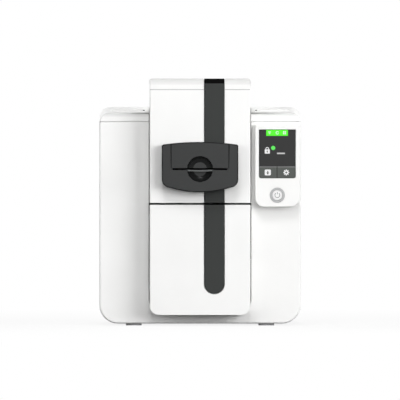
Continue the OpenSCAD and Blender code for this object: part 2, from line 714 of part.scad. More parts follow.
module cover_striker() color("#8e9193")
  span([-half_col + wall, y_face - 8, catch_z + 1], [-half_col + wall + 2.5, y_face + 18, catch_z + 5]);

// ---------- Door ----------

module door_outline(d = 0)
  corner_rect(-half_col + d, half_col - d, col_z0 + d, door_z1 - d, 0.8, door_corner_r - d);

module door_shell() color("#f6f6f5") difference() {
  union() {
    difference() {
      intersection() {
        front_solid(y_col, y_face - 0.6) door_outline();
        linear_extrude(col_h) column_plan();
      }
      front_solid(y_col + wall, y_face + cut) door_outline(wall);
      // the left wall stops at the hinge's axis
      span([-half_col - cut, door_y, col_z0 - cut], [-half_col + 12, y_face + cut, door_z1 + cut]);
      for (z = barrel_z)
        rod_z(door_x, door_y, door_pivot_r + 0.4, z + barrel_l, z + barrel_l + ear_t + 2 * clear);
    }
    for (z = barrel_z) rod_z(door_x, door_y, door_pivot_r, z, z + barrel_l);
  }
  for (z = barrel_z) rod_z(door_x, door_y, door_pin_r + run_fit, z + 3, z + barrel_l + cut);
  front_solid(y_col - cut, y_col + strip_t) strip_low_outline(strip_gap);
}

// Front view of the strip's lower part, with its round end.
module strip_low_outline(d = 0) {
  translate([strip_x, strip_end_h]) circle(r = strip_w / 2 + d, $fn = 64);
  translate([strip_x - strip_w / 2 - d, strip_end_h])
    square([strip_w + 2 * d, door_z1 + (d > 0 ? cut : 0) - strip_end_h]);
}
module strip_lower() color("#424343") front_solid(y_col, y_col + strip_t) strip_low_outline();

module door_strike_plate() color("#9fa2a4")
  span([half_col - wall - 8, y_face - 3.6, magnet_z[0]], [half_col - wall, y_face - 2.2, magnet_z[1]]);

// ---------- Mechanism ----------

module side_plate(s) color("#b4b8bb") difference() {
  span([min(s * plate_in, s * (plate_in + side_plate_t)), frame_y0 + 6, deck_z],
    [max(s * plate_in, s * (plate_in + side_plate_t)), feed_y + 40, spool_z + 12]);
  for (y = [front_y, platen_y, transport_y, feed_y]) plate_hole(y, roller_z, bush_r);
  for (y = [front_y, transport_y]) plate_hole(y, pinch_z, 2 + run_fit);
  for (y = [takeup_y, supply_y]) plate_hole(y, spool_z, 3 + run_fit);
  if (s > 0) plate_hole(motor_y, motor_z, 11);
  for (y = [front_y + 33, transport_y + 27]) plate_hole(y, 184, 9);
}
module plate_hole(y, z, r) rod_x(y, z, r, -plate_in - 3 * side_plate_t, plate_in + 3 * side_plate_t);
module left_side_plate() side_plate(-1);
module right_side_plate() side_plate(1);

// Plain bushes pressed into the side plates, one at each end of each driven shaft.
module roller_bushes() color("#c8a558")
  for (s = [-1, 1], y = [front_y, platen_y, transport_y, feed_y]) difference() {
    rod_x(y, roller_z, bush_r, min(s * plate_in, s * (plate_in + side_plate_t)),
      max(s * plate_in, s * (plate_in + side_plate_t)));
    rod_x(y, roller_z, shaft_r + run_fit, -plate_in - 3 * side_plate_t, plate_in + 3 * side_plate_t);
  }

// Lower guide plates between the rollers, with a lip along each side of the path.
guide_z = path_h - card_t / 2 - 0.4;
guide_y = [[y_face + 3, front_y - 10], [front_y + 10, platen_y - 10.5],
  [platen_y + 10.5, transport_y - 10]];
module card_guide() color("#8b9094")
  for (y = guide_y) {
    span([-plate_in, y[0], guide_z - 2], [plate_in, y[1], guide_z]);
    for (s = [-1, 1])
      span([min(s * (card_w / 2 + 1), s * (card_w / 2 + 3)), y[0], guide_z],
        [max(s * (card_w / 2 + 1), s * (card_w / 2 + 3)), y[1], guide_z + 2]);
  }

// A driven shaft with its belt pulley on the left end.
module driven_shaft(y, right_end) color("#aeb2b5") {
  rod_x(y, roller_z, shaft_r, pulley_x - belt_w / 2 - 1, right_end);
  rod_x(y, roller_z, pulley_r - 0.2, pulley_x - belt_w / 2, pulley_x + belt_w / 2);
  rod_x(y, roller_z, pulley_r + 0.8, pulley_x - belt_w / 2 - 1, pulley_x - belt_w / 2);
}
// The rubber sleeve on a driven shaft.
module roller_rubber(y) color("#2a2b2c") difference() {
  rod_x(y, roller_z, roller_r, -roller_half, roller_half);
  rod_x(y, roller_z, shaft_r, -roller_half - cut, roller_half + cut);
}
module front_shaft() driven_shaft(front_y, plate_in + side_plate_t);
module front_rubber() roller_rubber(front_y);
module platen_shaft() driven_shaft(platen_y, gear_x + gear_w);
module platen_rubber() roller_rubber(platen_y);
module transport_shaft() driven_shaft(transport_y, plate_in + side_plate_t);
module transport_rubber() roller_rubber(transport_y);
module feed_shaft() driven_shaft(feed_y, plate_in + side_plate_t);
module feed_rubber() roller_rubber(feed_y);

// One belt round the front and the feed pulleys, over and under the two between.
module drive_belt() color("#2c2d2e")
  side_solid(pulley_x - belt_w / 2 + 0.2, pulley_x + belt_w / 2 - 0.2) difference() {
    belt_loop(pulley_r + 0.15 + belt_t);
    belt_loop(pulley_r + 0.15);
  }
module belt_loop(r) polygon(concat(
  arc([front_y, roller_z], r, 90, 270, 24), arc([feed_y, roller_z], r, 270, 450, 24)));

// Gear outline: trapezoid teeth about the pitch circle, with the first tooth's middle at angle a0.
function gear_points(teeth, a0) = let (rp = teeth * tooth_m / 2, p = 360 / teeth)
  [for (i = [0:teeth - 1], k = [[-0.30, -1.2], [-0.11, 0.9], [0.11, 0.9], [0.30, -1.2]])
    let (a = a0 + (i + k[0]) * p, r = rp + k[1] * tooth_m) [r * cos(a), r * sin(a)]];

module platen_gear() color("#e6e1d2") difference() {
  translate([0, platen_y, roller_z]) side_solid(gear_x, gear_x + gear_w)
    polygon(gear_points(gear_teeth, 180 + mesh_angle));
  rod_x(platen_y, roller_z, shaft_r, gear_x - cut, gear_x + gear_w + cut);
  for (a = [30:60:330])
    rod_x(platen_y + 13 * cos(a), roller_z + 13 * sin(a), 4, gear_x - cut, gear_x + gear_w + cut);
}
module motor_pinion() color("#cdb27a") {
  translate([0, motor_y, motor_z]) side_solid(gear_x, gear_x + gear_w)
    polygon(gear_points(pinion_teeth, mesh_angle + 180 / pinion_teeth));
  rod_x(motor_y, motor_z, 2.5, plate_in + 0.3, gear_x);
}
// The motor: a square body whose corners are cut off by motor_c.
motor_c = 3;
module stepper_motor() color("#3a3d40")
  translate([plate_in - motor_l, motor_y, motor_z]) side_solid(0, motor_l)
    polygon([for (k = [0:7]) let (a = 45 + 90 * floor(k / 2), e = (k % 2) * motor_c, h = motor_a / 2,
      u = sign(cos(a)), v = sign(sin(a)), first = u * v > 0)
      [u * (h - (first ? e : motor_c - e)), v * (h - (first ? motor_c - e : e))]]);

// A free pinch roller above the path, with its spindle in the side plates.
module pinch_roller(y) color("#2d2e2f") {
  rod_x(y, pinch_z, pinch_r, -roller_half, roller_half);
  rod_x(y, pinch_z, 2, -plate_in - side_plate_t, plate_in + side_plate_t);
}
module front_pinch_roller() pinch_roller(front_y);
module transport_pinch_roller() pinch_roller(transport_y);

// A ribbon core with its end flanges, and the ribbon wound on it.
module spool(y, r) color("#d7d8d6") {
  rod_x(y, spool_z, core_r, -ribbon_half - 1, ribbon_half + 1);
  for (x = [-ribbon_half - 2.5, ribbon_half + 1]) rod_x(y, spool_z, r, x, x + 1.5);
  rod_x(y, spool_z, 3, -plate_in - side_plate_t, plate_in + side_plate_t);
}
module wound(y, r) difference() {
  rod_x(y, spool_z, r, -ribbon_half, ribbon_half);
  rod_x(y, spool_z, core_r, -ribbon_half - cut, ribbon_half + cut);
}
module supply_spool() spool(supply_y, ribbon_r + 1);
module supply_ribbon() color("#7a2f5e") wound(supply_y, ribbon_r);
module takeup_spool() spool(takeup_y, ribbon_r + 1);
module takeup_ribbon() color("#3a3050") wound(takeup_y, takeup_r);

// Two guide bars that carry the ribbon low past the print head.
bar_r = 2.2;
bar_off = 13; // from the platen's axis to each bar
bar_z = film_z + film_t + 0.3 + bar_r;
module ribbon_cradle() color("#9b9fa2") for (s = [-1, 1])
  rod_x(platen_y + s * bar_off, bar_z, bar_r, -plate_in, plate_in);

// The free ribbon, in side view: from the take-up down to the front bar, flat under the print
// head, and up from the rear bar to the supply.
function touch(p, c, r, side) =
  let (d = norm(c - p), a = asin(r / d), b = atan2(c[1] - p[1], c[0] - p[0]), l = sqrt(d * d - r * r))
  p + l * [cos(b + side * a), sin(b + side * a)];
flat_y = bar_off + 2;
film_a = [platen_y - flat_y, film_z];
film_b = [platen_y + flat_y, film_z];
film_up = touch(film_a, [takeup_y, spool_z], takeup_r + clear, -1);
film_down = touch(film_b, [supply_y, spool_z], ribbon_r + clear, 1);
module ribbon_film() color("#6d3a63") side_solid(-ribbon_half + 1, ribbon_half - 1) polygon([
  film_up, film_a, film_b, film_down, film_down - [film_t, 0], film_b + [-film_t, film_t],
  film_a + [film_t, film_t], film_up + [film_t, 0]]);

module card_hopper() color("#505356") difference() {
  union() {
    span([-hopper_x - hopper_wall, hopper_y0 - hopper_wall, hopper_z0 - hopper_wall],
      [hopper_x + hopper_wall, hopper_y0 + hopper_l + hopper_wall, hopper_z0 + hopper_h]);
    span([-plate_in, hopper_y0 - hopper_wall, hopper_z0 - hopper_wall],
      [plate_in, feed_y + 38, hopper_z0]);
  }
  span([-hopper_x, hopper_y0, hopper_z0], [hopper_x, hopper_y0 + hopper_l, hopper_z0 + hopper_h + cut]);
  // the feed roller's window, the card's way out at the front, and finger cut-outs
  span([-roller_half - 1, feed_y - roller_r - 1, hopper_z0 - hopper_wall - cut],
    [roller_half + 1, feed_y + roller_r + 1, hopper_z0 + cut]);
  span([-hopper_x, hopper_y0 - hopper_wall - cut, hopper_z0], [hopper_x, hopper_y0 + cut, hopper_z0 + 2]);
  for (x = [-hopper_x - hopper_wall - cut, hopper_x - cut])
    rod_x(hopper_y0 + hopper_l / 2, hopper_z0 + hopper_h, 16, x, x + hopper_wall + 2 * cut);
}

// The weight on the card stack, with a low grip.
weight_gap = 0.5;
module hopper_weight() color("#8c8f91") {
  z = hopper_z0 + 1;
  mid_y = hopper_y0 + hopper_l / 2;
  span([-hopper_x + weight_gap, hopper_y0 + weight_gap, z],
    [hopper_x - weight_gap, hopper_y0 + hopper_l - weight_gap, z + weight_t]);
  span([-10, mid_y - 3, z + weight_t], [10, mid_y + 3, z + weight_t + 8]);
}

bottom_plate();
rubber_feet();
main_casing();
left_top_cap();
right_top_cap();
rear_panel();
rear_hump_cover();
bay_frame();
casing_screws();
panel_housing();
display_module();
touch_lens();
power_button_ring();
reject_bin();
left_side_plate();
right_side_plate();
roller_bushes();
card_guide();
stepper_motor();
drive_belt();
ribbon_cradle();
ribbon_film();
card_hopper();
main_board();
power_inlet();
usb_port();
ethernet_port();
cover_catch();
door_magnet();
cover_hinge_pins();
door_hinge_pins();
cover_shell();
cover_frame();
strip_upper();
slot_bezel();
slot_insert();
printhead_bracket();
print_head();
cover_striker();
door_shell();
strip_lower();
door_strike_plate();
power_button();
platen_shaft();
platen_rubber();
platen_gear();
front_shaft();
front_rubber();
transport_shaft();
transport_rubber();
feed_shaft();
feed_rubber();
front_pinch_roller();
transport_pinch_roller();
motor_pinion();
supply_spool();
supply_ribbon();
takeup_spool();
takeup_ribbon();
hopper_weight();
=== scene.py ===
# %% [markdown]
# # A desktop card printer, dressed for its photograph
# The printer comes from its CAD frame at real size, in metres: Z is up and the front faces -Y.
# The frame holds every working piece. This script gives each one its finish, and remakes the
# pieces that show with the small roundings that moulded plastic has, because a sharp CAD edge
# catches no light and looks like paper.

# %% Load the frame
import json
import math

import bmesh
import bpy
from mathutils import Matrix, Vector


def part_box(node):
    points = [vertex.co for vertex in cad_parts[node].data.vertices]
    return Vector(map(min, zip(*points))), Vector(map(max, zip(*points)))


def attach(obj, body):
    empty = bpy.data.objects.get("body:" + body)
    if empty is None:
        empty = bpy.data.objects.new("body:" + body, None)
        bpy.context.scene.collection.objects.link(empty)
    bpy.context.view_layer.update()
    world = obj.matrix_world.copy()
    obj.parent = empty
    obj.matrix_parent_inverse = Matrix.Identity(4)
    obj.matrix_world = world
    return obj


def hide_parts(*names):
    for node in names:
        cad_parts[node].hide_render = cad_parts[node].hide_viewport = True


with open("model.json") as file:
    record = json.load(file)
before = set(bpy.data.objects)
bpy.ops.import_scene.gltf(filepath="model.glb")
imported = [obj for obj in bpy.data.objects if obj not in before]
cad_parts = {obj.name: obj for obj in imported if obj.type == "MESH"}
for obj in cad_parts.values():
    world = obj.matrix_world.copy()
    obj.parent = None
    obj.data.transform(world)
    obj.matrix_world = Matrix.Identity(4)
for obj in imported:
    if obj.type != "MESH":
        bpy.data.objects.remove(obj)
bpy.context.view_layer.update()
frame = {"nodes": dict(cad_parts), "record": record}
MM = 0.001
body_of = {node: body for body, nodes in frame["record"]["behaviour"]["bodies"].items()
           for node in nodes}

# %% [markdown]
# ## Driving dimensions
# The places of the pieces that this script adds are read from the CAD boxes of what carries
# them, so that nothing has to be fitted by hand. A box can't tell what lies inside it, so two
# sizes are named: the height of the card slot, and how far the shoulders' tops fall to the front.

# %% Places read from the frame
SLOT_HEIGHT = 159 * MM
SLOPE_FALL = 6 * MM
low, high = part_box("touch_lens")
lens = {"x0": low.x, "x1": high.x, "z0": low.z, "z1": high.z, "y": low.y}
low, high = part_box("power_button")
button = {"x": (low.x + high.x) / 2, "z": (low.z + high.z) / 2, "y": low.y}
low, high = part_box("slot_bezel")
bezel = {"y": low.y, "slot_z": SLOT_HEIGHT}
low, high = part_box("cover_shell")
column = {"y": low.y, "top": high.z}
low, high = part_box("left_top_cap")
shoulder = {"y": low.y, "lip": high.z - SLOPE_FALL}
print("lens", lens, "button", button)

# %% [markdown]
# ## The camera and the studio
# The photograph is a catalogue picture: the camera stands straight in front of the printer at
# about half its height, so far away that the sides don't show. A lens of about 1060 mm at twelve
# metres does the same, because a long lens far away flattens the perspective. The picture is
# 400 pixels wide and one pixel is 1.015 mm on the printer's front.

# %% Camera
PIXEL_MM = 1.015
PICTURE_PX = 400
SENSOR_MM = 36
CAMERA_HEIGHT = 0.1277
CAMERA_DISTANCE = 12.0
front_y = column["y"]
camera_data = bpy.data.cameras.new("camera")
camera_data.sensor_width = SENSOR_MM
camera_data.sensor_fit = "HORIZONTAL"
camera_data.lens = SENSOR_MM * CAMERA_DISTANCE / (PICTURE_PX * PIXEL_MM * MM)
camera = bpy.data.objects.new("camera", camera_data)
camera.location = (0, front_y - CAMERA_DISTANCE, CAMERA_HEIGHT)
camera.rotation_euler = (math.radians(90), 0, 0)
bpy.context.scene.collection.objects.link(camera)
bpy.context.scene.camera = camera
bpy.context.scene.view_settings.view_transform = "Standard"
print("lens", round(camera_data.lens), "mm")

# %% [markdown]
# ## Colours and nodes
# Colours are written as the hex values that a colour picker gives on a screen. Cycles works with
# linear light, so one function converts them. A second small function adds a node, sets its
# values and links its inputs, and every material below is built with it.

# %% Colour and node helpers
def linear(hex_colour):
    """The linear RGBA of an sRGB hex colour."""
    values = [int(hex_colour[i : i + 2], 16) / 255 for i in (0, 2, 4)]
    return [v / 12.92 if v <= 0.04045 else ((v + 0.055) / 1.055) ** 2.4 for v in values] + [1.0]


def add_node(tree, kind, settings=None, links=None, **values):
    """Adds a node: settings are its properties, values its sockets, links its inputs."""
    node = tree.nodes.new(kind)
    for name, value in (settings or {}).items():
        setattr(node, name, value)
    for name, value in values.items():
        node.inputs[name.replace("_", " ")].default_value = value
    for name, output in (links or {}).items():
        tree.links.new(output, node.inputs[name])
    return node


def new_material(name):
    """An empty material with its output node, and the tree to build in."""
    material = bpy.data.materials.new(name)
    material.use_nodes = True
    material.node_tree.nodes.clear()
    output = material.node_tree.nodes.new("ShaderNodeOutputMaterial")
    return material, material.node_tree, output


print("middle grey 808080 is", round(linear("808080")[0], 3), "in linear light")

# %% [markdown]
# The floor and the backdrop are pure white, as in the photograph. Only the rays that look at
# them see that white: camera rays, the glossy rays of a reflection and the transmission rays
# behind glass. The rays that carry light to the printer see a dim floor and a dim sky, so the
# white of the picture comes from colour and never from more light on the printer.

# %% Rays that see the white
def seen_rays(tree, rays):
    """1 for camera, glossy and transmission rays, and 0 for the rays that carry light."""
    seen = rays.outputs["Is Camera Ray"]
    for kind in ("Is Glossy Ray", "Is Transmission Ray"):
        either = add_node(tree, "ShaderNodeMath", {"operation": "MAXIMUM"})
        tree.links.new(seen, either.inputs[0])
        tree.links.new(rays.outputs[kind], either.inputs[1])
        seen = either.outputs[0]
    return seen


def mix_shaders(tree, share, first, second):
    """The first shader where share is 0 and the second where it is 1."""
    mix = add_node(tree, "ShaderNodeMixShader")
    for socket, output in zip(mix.inputs, (share, first, second)):
        tree.links.new(output, socket)
    return mix.outputs[0]


PURE_WHITE = (1, 1, 1, 1)
print("camera, glossy and transmission rays see", PURE_WHITE)

# %% [markdown]
# Beside the printer the camera also sees a share of the floor's own shading, which holds the soft
# shadow that ties the printer to the ground. The share fades out with the distance, so that the
# picture's edge is plain white.

# %% Floor
SHADOW_SHARE = 0.16  # how much of the floor's own shading the camera sees beside the printer
SHADOW_NEAR = 0.3  # metres from the printer's middle to where that share begins to fade
SHADOW_REACH = 1.6  # metres from the printer's middle to where the floor is plain white
FLOOR_TONE = 0.9  # the floor's own paleness, as the camera sees it
TABLE_BOUNCE = 0.12  # how much light the floor throws back up at the printer
FLOOR_SIZE = 40  # metres, so that its edge is never seen


def floor_material(name):
    """White to camera, mirror and glass rays, but for the soft shadow near the printer."""
    material, tree, output = new_material(name)
    rays = add_node(tree, "ShaderNodeLightPath")
    place = add_node(tree, "ShaderNodeTexCoord")
    reach = add_node(tree, "ShaderNodeVectorMath", {"operation": "LENGTH"},
                     links={"Vector": place.outputs["Object"]})
    plain = add_node(tree, "ShaderNodeMapRange", links={"Value": reach.outputs["Value"]},
                     From_Min=SHADOW_NEAR, From_Max=SHADOW_REACH,
                     To_Min=1 - SHADOW_SHARE, To_Max=1.0)
    share = add_node(tree, "ShaderNodeMath", {"operation": "MULTIPLY"})
    tree.links.new(seen_rays(tree, rays), share.inputs[0])
    tree.links.new(plain.outputs["Result"], share.inputs[1])
    tone = add_node(tree, "ShaderNodeMapRange", links={"Value": rays.outputs["Is Camera Ray"]},
                    To_Min=TABLE_BOUNCE, To_Max=FLOOR_TONE)
    matt = add_node(tree, "ShaderNodeBsdfDiffuse", links={"Color": tone.outputs["Result"]})
    white = add_node(tree, "ShaderNodeEmission", Color=PURE_WHITE, Strength=1.0)
    surface = mix_shaders(tree, share.outputs[0], matt.outputs[0], white.outputs[0])
    tree.links.new(surface, output.inputs["Surface"])
    return material


bm = bmesh.new()
bmesh.ops.create_grid(bm, x_segments=1, y_segments=1, size=FLOOR_SIZE / 2)
mesh = bpy.data.meshes.new("floor")
bm.to_mesh(mesh)
bm.free()
mesh.materials.append(floor_material("floor_white"))
plane = bpy.data.objects.new("floor", mesh)
bpy.context.scene.collection.objects.link(plane)
print("floor", FLOOR_SIZE, "m wide")

# %% [markdown]
# The sky is the large bounce of a white studio. As light it is bright at the horizon and dim
# overhead, so that upright faces are filled evenly and the tops keep their shade.

# %% Sky
HORIZON_FILL = 0.5
ZENITH_FILL = 0.1
world = bpy.data.worlds.new("studio")
bpy.context.scene.world = world
world.use_nodes = True
sky = world.node_tree
sky.nodes.clear()
direction = add_node(sky, "ShaderNodeTexCoord")
split = add_node(sky, "ShaderNodeSeparateXYZ", links={"Vector": direction.outputs["Generated"]})
level = add_node(sky, "ShaderNodeMapRange", links={"Value": split.outputs["Z"]},
                 To_Min=HORIZON_FILL, To_Max=ZENITH_FILL)
fill = add_node(sky, "ShaderNodeBackground", links={"Strength": level.outputs["Result"]},
                Color=PURE_WHITE)
plain = add_node(sky, "ShaderNodeBackground", Color=PURE_WHITE, Strength=1.0)
seen = seen_rays(sky, add_node(sky, "ShaderNodeLightPath"))
shown = mix_shaders(sky, seen, fill.outputs[0], plain.outputs[0])
sky.links.new(shown, add_node(sky, "ShaderNodeOutputWorld").inputs["Surface"])
print("sky fill", HORIZON_FILL, "to", ZENITH_FILL)

# %% [markdown]
# The light of the photograph is broad and low. A large softbox on the right lets the left
# shoulder darken beside the column, a weaker one on the left does the same on the right side, a
# smaller one high up throws the soft shadows under the bezel, the panel and the door, and one
# overhead lights the tops of the shoulders. Two behind the printer keep its back and sides as
# light as its front.

# %% Lamps
FRONT_AIM = (0, -0.1, 0.12)
TOP_AIM = (0, 0, 0.1)
BACK_AIM = (0, 0.1, 0.12)


def softbox(name, place, aim, size, watts):
    """A square area lamp that points at aim."""
    data = bpy.data.lights.new(name, "AREA")
    data.size = size
    data.energy = watts
    lamp = bpy.data.objects.new(name, data)
    lamp.location = place
    lamp.rotation_euler = (Vector(aim) - Vector(place)).to_track_quat("-Z", "Y").to_euler()
    bpy.context.scene.collection.objects.link(lamp)


softbox("key_softbox", (1.8, -2.2, 0.4), FRONT_AIM, size=1.8, watts=70)
softbox("left_softbox", (-1.9, -2.0, 0.4), FRONT_AIM, size=1.8, watts=20)
softbox("high_softbox", (-0.1, -1.9, 2.4), FRONT_AIM, size=1.0, watts=32)
softbox("top_softbox", (-0.3, 0.4, 2.4), TOP_AIM, size=1.6, watts=5)
softbox("rear_left_softbox", (-2.3, 2.3, 0.9), BACK_AIM, size=1.8, watts=48)
softbox("rear_right_softbox", (2.3, 2.3, 0.9), BACK_AIM, size=1.8, watts=36)
print(len(bpy.data.lights), "lamps placed")

# %% [markdown]
# ## Materials
# Every finish starts from what the real piece is made of. Almost all of the outside is moulded
# ABS, whose tool is spark eroded: the surface has a fine even grain that scatters the light, with
# a roughness near 0.4 and the usual index of refraction of plastics, 1.46 to 1.54. Its colour
# drifts a little with the pigment, and its gloss with handling.

# %% Drifts and grain that the finishes share
def object_noise(tree, place, size_mm, **values):
    """Noise whose features are size_mm across, in the object's own coordinates."""
    noise = add_node(tree, "ShaderNodeTexNoise", links={"Vector": place.outputs["Object"]},
                     Scale=1 / (size_mm * MM), **values)
    return noise.outputs["Fac"]


def two_tones(tree, amount, first, second):
    """A colour ramp between two hex colours."""
    ramp = add_node(tree, "ShaderNodeValToRGB", links={"Fac": amount})
    ramp.color_ramp.elements[0].color = linear(first)
    ramp.color_ramp.elements[1].color = linear(second)
    return ramp


def grain_bump(tree, place, grain_mm, strength, depth_mm):
    """A fine bump whose bumps are grain_mm across."""
    grain = object_noise(tree, place, grain_mm, Detail=3.0, Roughness=0.6)
    bump = add_node(tree, "ShaderNodeBump", links={"Height": grain},
                    Strength=strength, Distance=depth_mm * MM)
    return bump.outputs["Normal"]


def colour_drift(tree, place, colour, other, patch_mm):
    """A slow drift between two near colours, as pigment and handling leave it."""
    ramp = two_tones(tree, object_noise(tree, place, patch_mm, Detail=2.0), other, colour)
    for element, position in zip(ramp.color_ramp.elements, (0.35, 0.65)):
        element.position = position
    return ramp.outputs["Color"]


def roughness_drift(tree, place, smoothest, roughest, patch_mm):
    """Roughness that wanders between two values, so that gloss isn't quite even."""
    drift = object_noise(tree, place, patch_mm, Detail=4.0)
    span = add_node(tree, "ShaderNodeMapRange", links={"Value": drift},
                    To_Min=smoothest, To_Max=roughest)
    return span.outputs["Result"]


def finish_surface(tree, output, links, **values):
    """The Principled shader that closes a material."""
    shader = add_node(tree, "ShaderNodeBsdfPrincipled", links=links, **values)
    tree.links.new(shader.outputs["BSDF"], output.inputs["Surface"])


print("one grain of 0.8 mm is a noise scale of", round(1 / (0.8 * MM)))

# %% [markdown]
# The brow of the cover and the front lip of each shoulder look a little greyer than the faces below
# them, because they turn up and away from the low light. That is painted shade: a greyer cast that
# fades along Z and Y, in the piece's own coordinates, gives them that shade from every side.

# %% How moulded plastic is made
COLOUR_PATCH_MM = 60
GLOSS_PATCH_MM = 25
GRAIN_DEPTH_MM = 0.05
PLASTIC_IOR = 1.5
COAT_ROUGHNESS = 0.08


def fading_shade(tree, place, body_colour, shade, z_none, z_full, y_none, y_full):
    """A painted shade, full past z_full and y_full, that is gone at z_none and at y_none."""
    split = add_node(tree, "ShaderNodeSeparateXYZ", links={"Vector": place.outputs["Object"]})
    amount = add_node(tree, "ShaderNodeMath", {"operation": "MULTIPLY"})
    for socket, axis, none, full in ((amount.inputs[0], "Z", z_none, z_full),
                                     (amount.inputs[1], "Y", y_none, y_full)):
        fade = add_node(tree, "ShaderNodeMapRange", links={"Value": split.outputs[axis]},
                        From_Min=none, From_Max=full)
        tree.links.new(fade.outputs["Result"], socket)
    mix = add_node(tree, "ShaderNodeMix", {"data_type": "RGBA"},
                   links={"Factor": amount.outputs[0]})
    first, second = [socket for socket in mix.inputs if socket.type == "RGBA"]
    tree.links.new(body_colour, first)
    second.default_value = linear(shade)
    return next(socket for socket in mix.outputs if socket.type == "RGBA")


def plastic(name, colour, other, roughness, grain_mm=0.8, strength=0.12, coat=0.0, gloss=0.5,
            cast=None):
    """Moulded plastic: drifting colour, drifting gloss and a spark-eroded grain, with cast a
    painted shade.

    The real grain is about 0.05 mm; it is drawn grain_mm coarse so that it shows in a picture."""
    material, tree, output = new_material(name)
    place = add_node(tree, "ShaderNodeTexCoord")
    skin = colour_drift(tree, place, colour, other, COLOUR_PATCH_MM)
    if cast:
        skin = fading_shade(tree, place, skin, **cast)
    links = {"Base Color": skin,
             "Roughness": roughness_drift(tree, place, roughness - 0.04, roughness + 0.05,
                                          GLOSS_PATCH_MM),
             "Normal": grain_bump(tree, place, grain_mm, strength, GRAIN_DEPTH_MM)}
    finish_surface(tree, output, links, IOR=PLASTIC_IOR, Specular_IOR_Level=gloss,
                   Coat_Weight=coat, Coat_Roughness=COAT_ROUGHNESS)
    return material


print("plastic has an index of refraction of", PLASTIC_IOR)

# %% White plastics
# White ABS: satin and nearly without reflections, so its shape is read from its shading.
WHITE = {"colour": "f7f7f6", "other": "f4f4f3", "roughness": 0.42, "gloss": 0.05}
# Painted shade: the brow and the shoulders' front lips are painted greyer where they turn up and
# away from the light.
painted_brow_shade = {"shade": "d6d6d5",
             "z_none": column["top"] - 7 * MM, "z_full": column["top"] - 2.5 * MM,
             "y_none": front_y + 9 * MM, "y_full": front_y + 4 * MM}
painted_lip_shade = {"shade": "d4d4d3",
            "z_none": shoulder["lip"] - 5 * MM, "z_full": shoulder["lip"] - 0.5 * MM,
            "y_none": shoulder["y"] + 4 * MM, "y_full": shoulder["y"] + 2 * MM}
white_abs = plastic("white_moulded_abs", **WHITE)
lid_white_abs = plastic("white_abs_with_painted_brow_shade", **WHITE, cast=painted_brow_shade)
cap_white_abs = plastic("white_abs_with_painted_lip_shade", **WHITE, cast=painted_lip_shade)
off_white_abs = plastic("off_white_moulded_abs", "efefee", "ebebea", 0.5)
button_abs = plastic("white_button_abs", "f6f6f6", "f2f2f2", 0.3, strength=0.05)
# Painted shade on white ABS where little light reaches: a shallow tray, a fine line, a narrow hole
# and the walls of the strip's channel.
tray_painted_shade = plastic("painted_shade_tray_abs", "dededd", "dadad9", 0.5, gloss=0.05)
line_painted_shade = plastic("painted_shade_line_abs", "b4b4b4", "b0b0b0", 0.6, gloss=0.05)
hole_painted_shade = plastic("painted_shade_hole_abs", "303131", "2c2d2d", 0.7, gloss=0.0)
print("white plastics made")

# %% Dark plastics and paints
# Dark ABS: a marked grain and a dull sheen. The lip across the thumb dish is painted a lighter
# grey, a painted highlight for the light it catches.
dark_grey_abs = plastic("dark_grey_moulded_abs", "323333", "2f3030", 0.46, strength=0.2,
                        gloss=0.25)
black_abs = plastic("black_moulded_abs", "262829", "222426", 0.5, strength=0.25, gloss=0.3)
strip_grey = plastic("dark_grey_strip_abs", "323433", "303231", 0.5, strength=0.15, gloss=0.2)
lip_painted_highlight = plastic("grey_lip_painted_highlight", "5c5e5e", "585a5a", 0.35, strength=0.1, gloss=0.3)
# Dark ABS painted near black as shade: on the rim and in the gaps that the light doesn't reach, on
# the strip's end over the brow, and on the polished wall of the thumb dish.
rim_painted_shade = plastic("painted_shade_rim_abs", "171818", "151616", 0.5, gloss=0.1)
strip_end_painted_shade = plastic("painted_shade_strip_end", "101010", "0e0e0e", 0.7, strength=0.05, gloss=0.0)
dish_wall_painted_shade = plastic("gloss_abs_painted_shade", "121313", "0f1010", 0.22, strength=0.03, gloss=0.15)
# Acetal is slippery and slightly waxy, so it is smoother than ABS.
acetal = plastic("ivory_acetal", "e4dfd0", "dcd6c6", 0.32, grain_mm=1.5, strength=0.05)
# Paints: metallic grey on the button's ring, powder coat on plates, enamel on the motor.
silver_paint = plastic("silver_painted_abs", "bdbdbe", "b3b3b5", 0.35, grain_mm=0.6,
                       strength=0.1)
plate_paint = plastic("powder_coated_plate", "cfd1d3", "c7c9cb", 0.55, grain_mm=1.2,
                      strength=0.3)
motor_paint = plastic("black_motor_enamel", "232527", "1d1f21", 0.4, grain_mm=1.2,
                      strength=0.15)
print("dark plastics and paints made")

# %% [markdown]
# Metals: the inner frame is galvanised sheet, with the cloudy spangle of zinc crystals; shafts
# and pins are ground steel, with fine lines round the shaft; bushes are sintered bronze, which is
# open-pored and dull. A metal's colour is its reflection, so metallic is 1.

# %% Metals
def metal(name, colour, other, roughness, patch_mm, stretch=(1, 1, 1), bump=0.08, depth_mm=0.03):
    """A metal whose tone and gloss vary in patches; stretch draws them out into lines."""
    material, tree, output = new_material(name)
    place = add_node(tree, "ShaderNodeTexCoord")
    mapping = add_node(tree, "ShaderNodeMapping", links={"Vector": place.outputs["Object"]},
                       Scale=stretch)
    patches = add_node(tree, "ShaderNodeTexVoronoi", links={"Vector": mapping.outputs["Vector"]},
                       Scale=1 / (patch_mm * MM))
    tones = two_tones(tree, patches.outputs["Distance"], colour, other)
    fine = add_node(tree, "ShaderNodeTexNoise", links={"Vector": mapping.outputs["Vector"]},
                    Scale=3 / (patch_mm * MM), Detail=4.0)
    gloss = add_node(tree, "ShaderNodeMapRange", links={"Value": fine.outputs["Fac"]},
                     To_Min=roughness - 0.08, To_Max=roughness + 0.08)
    relief = add_node(tree, "ShaderNodeBump", links={"Height": fine.outputs["Fac"]},
                      Strength=bump, Distance=depth_mm * MM)
    links = {"Base Color": tones.outputs["Color"], "Roughness": gloss.outputs["Result"],
             "Normal": relief.outputs["Normal"]}
    finish_surface(tree, output, links, Metallic=1.0)
    return material


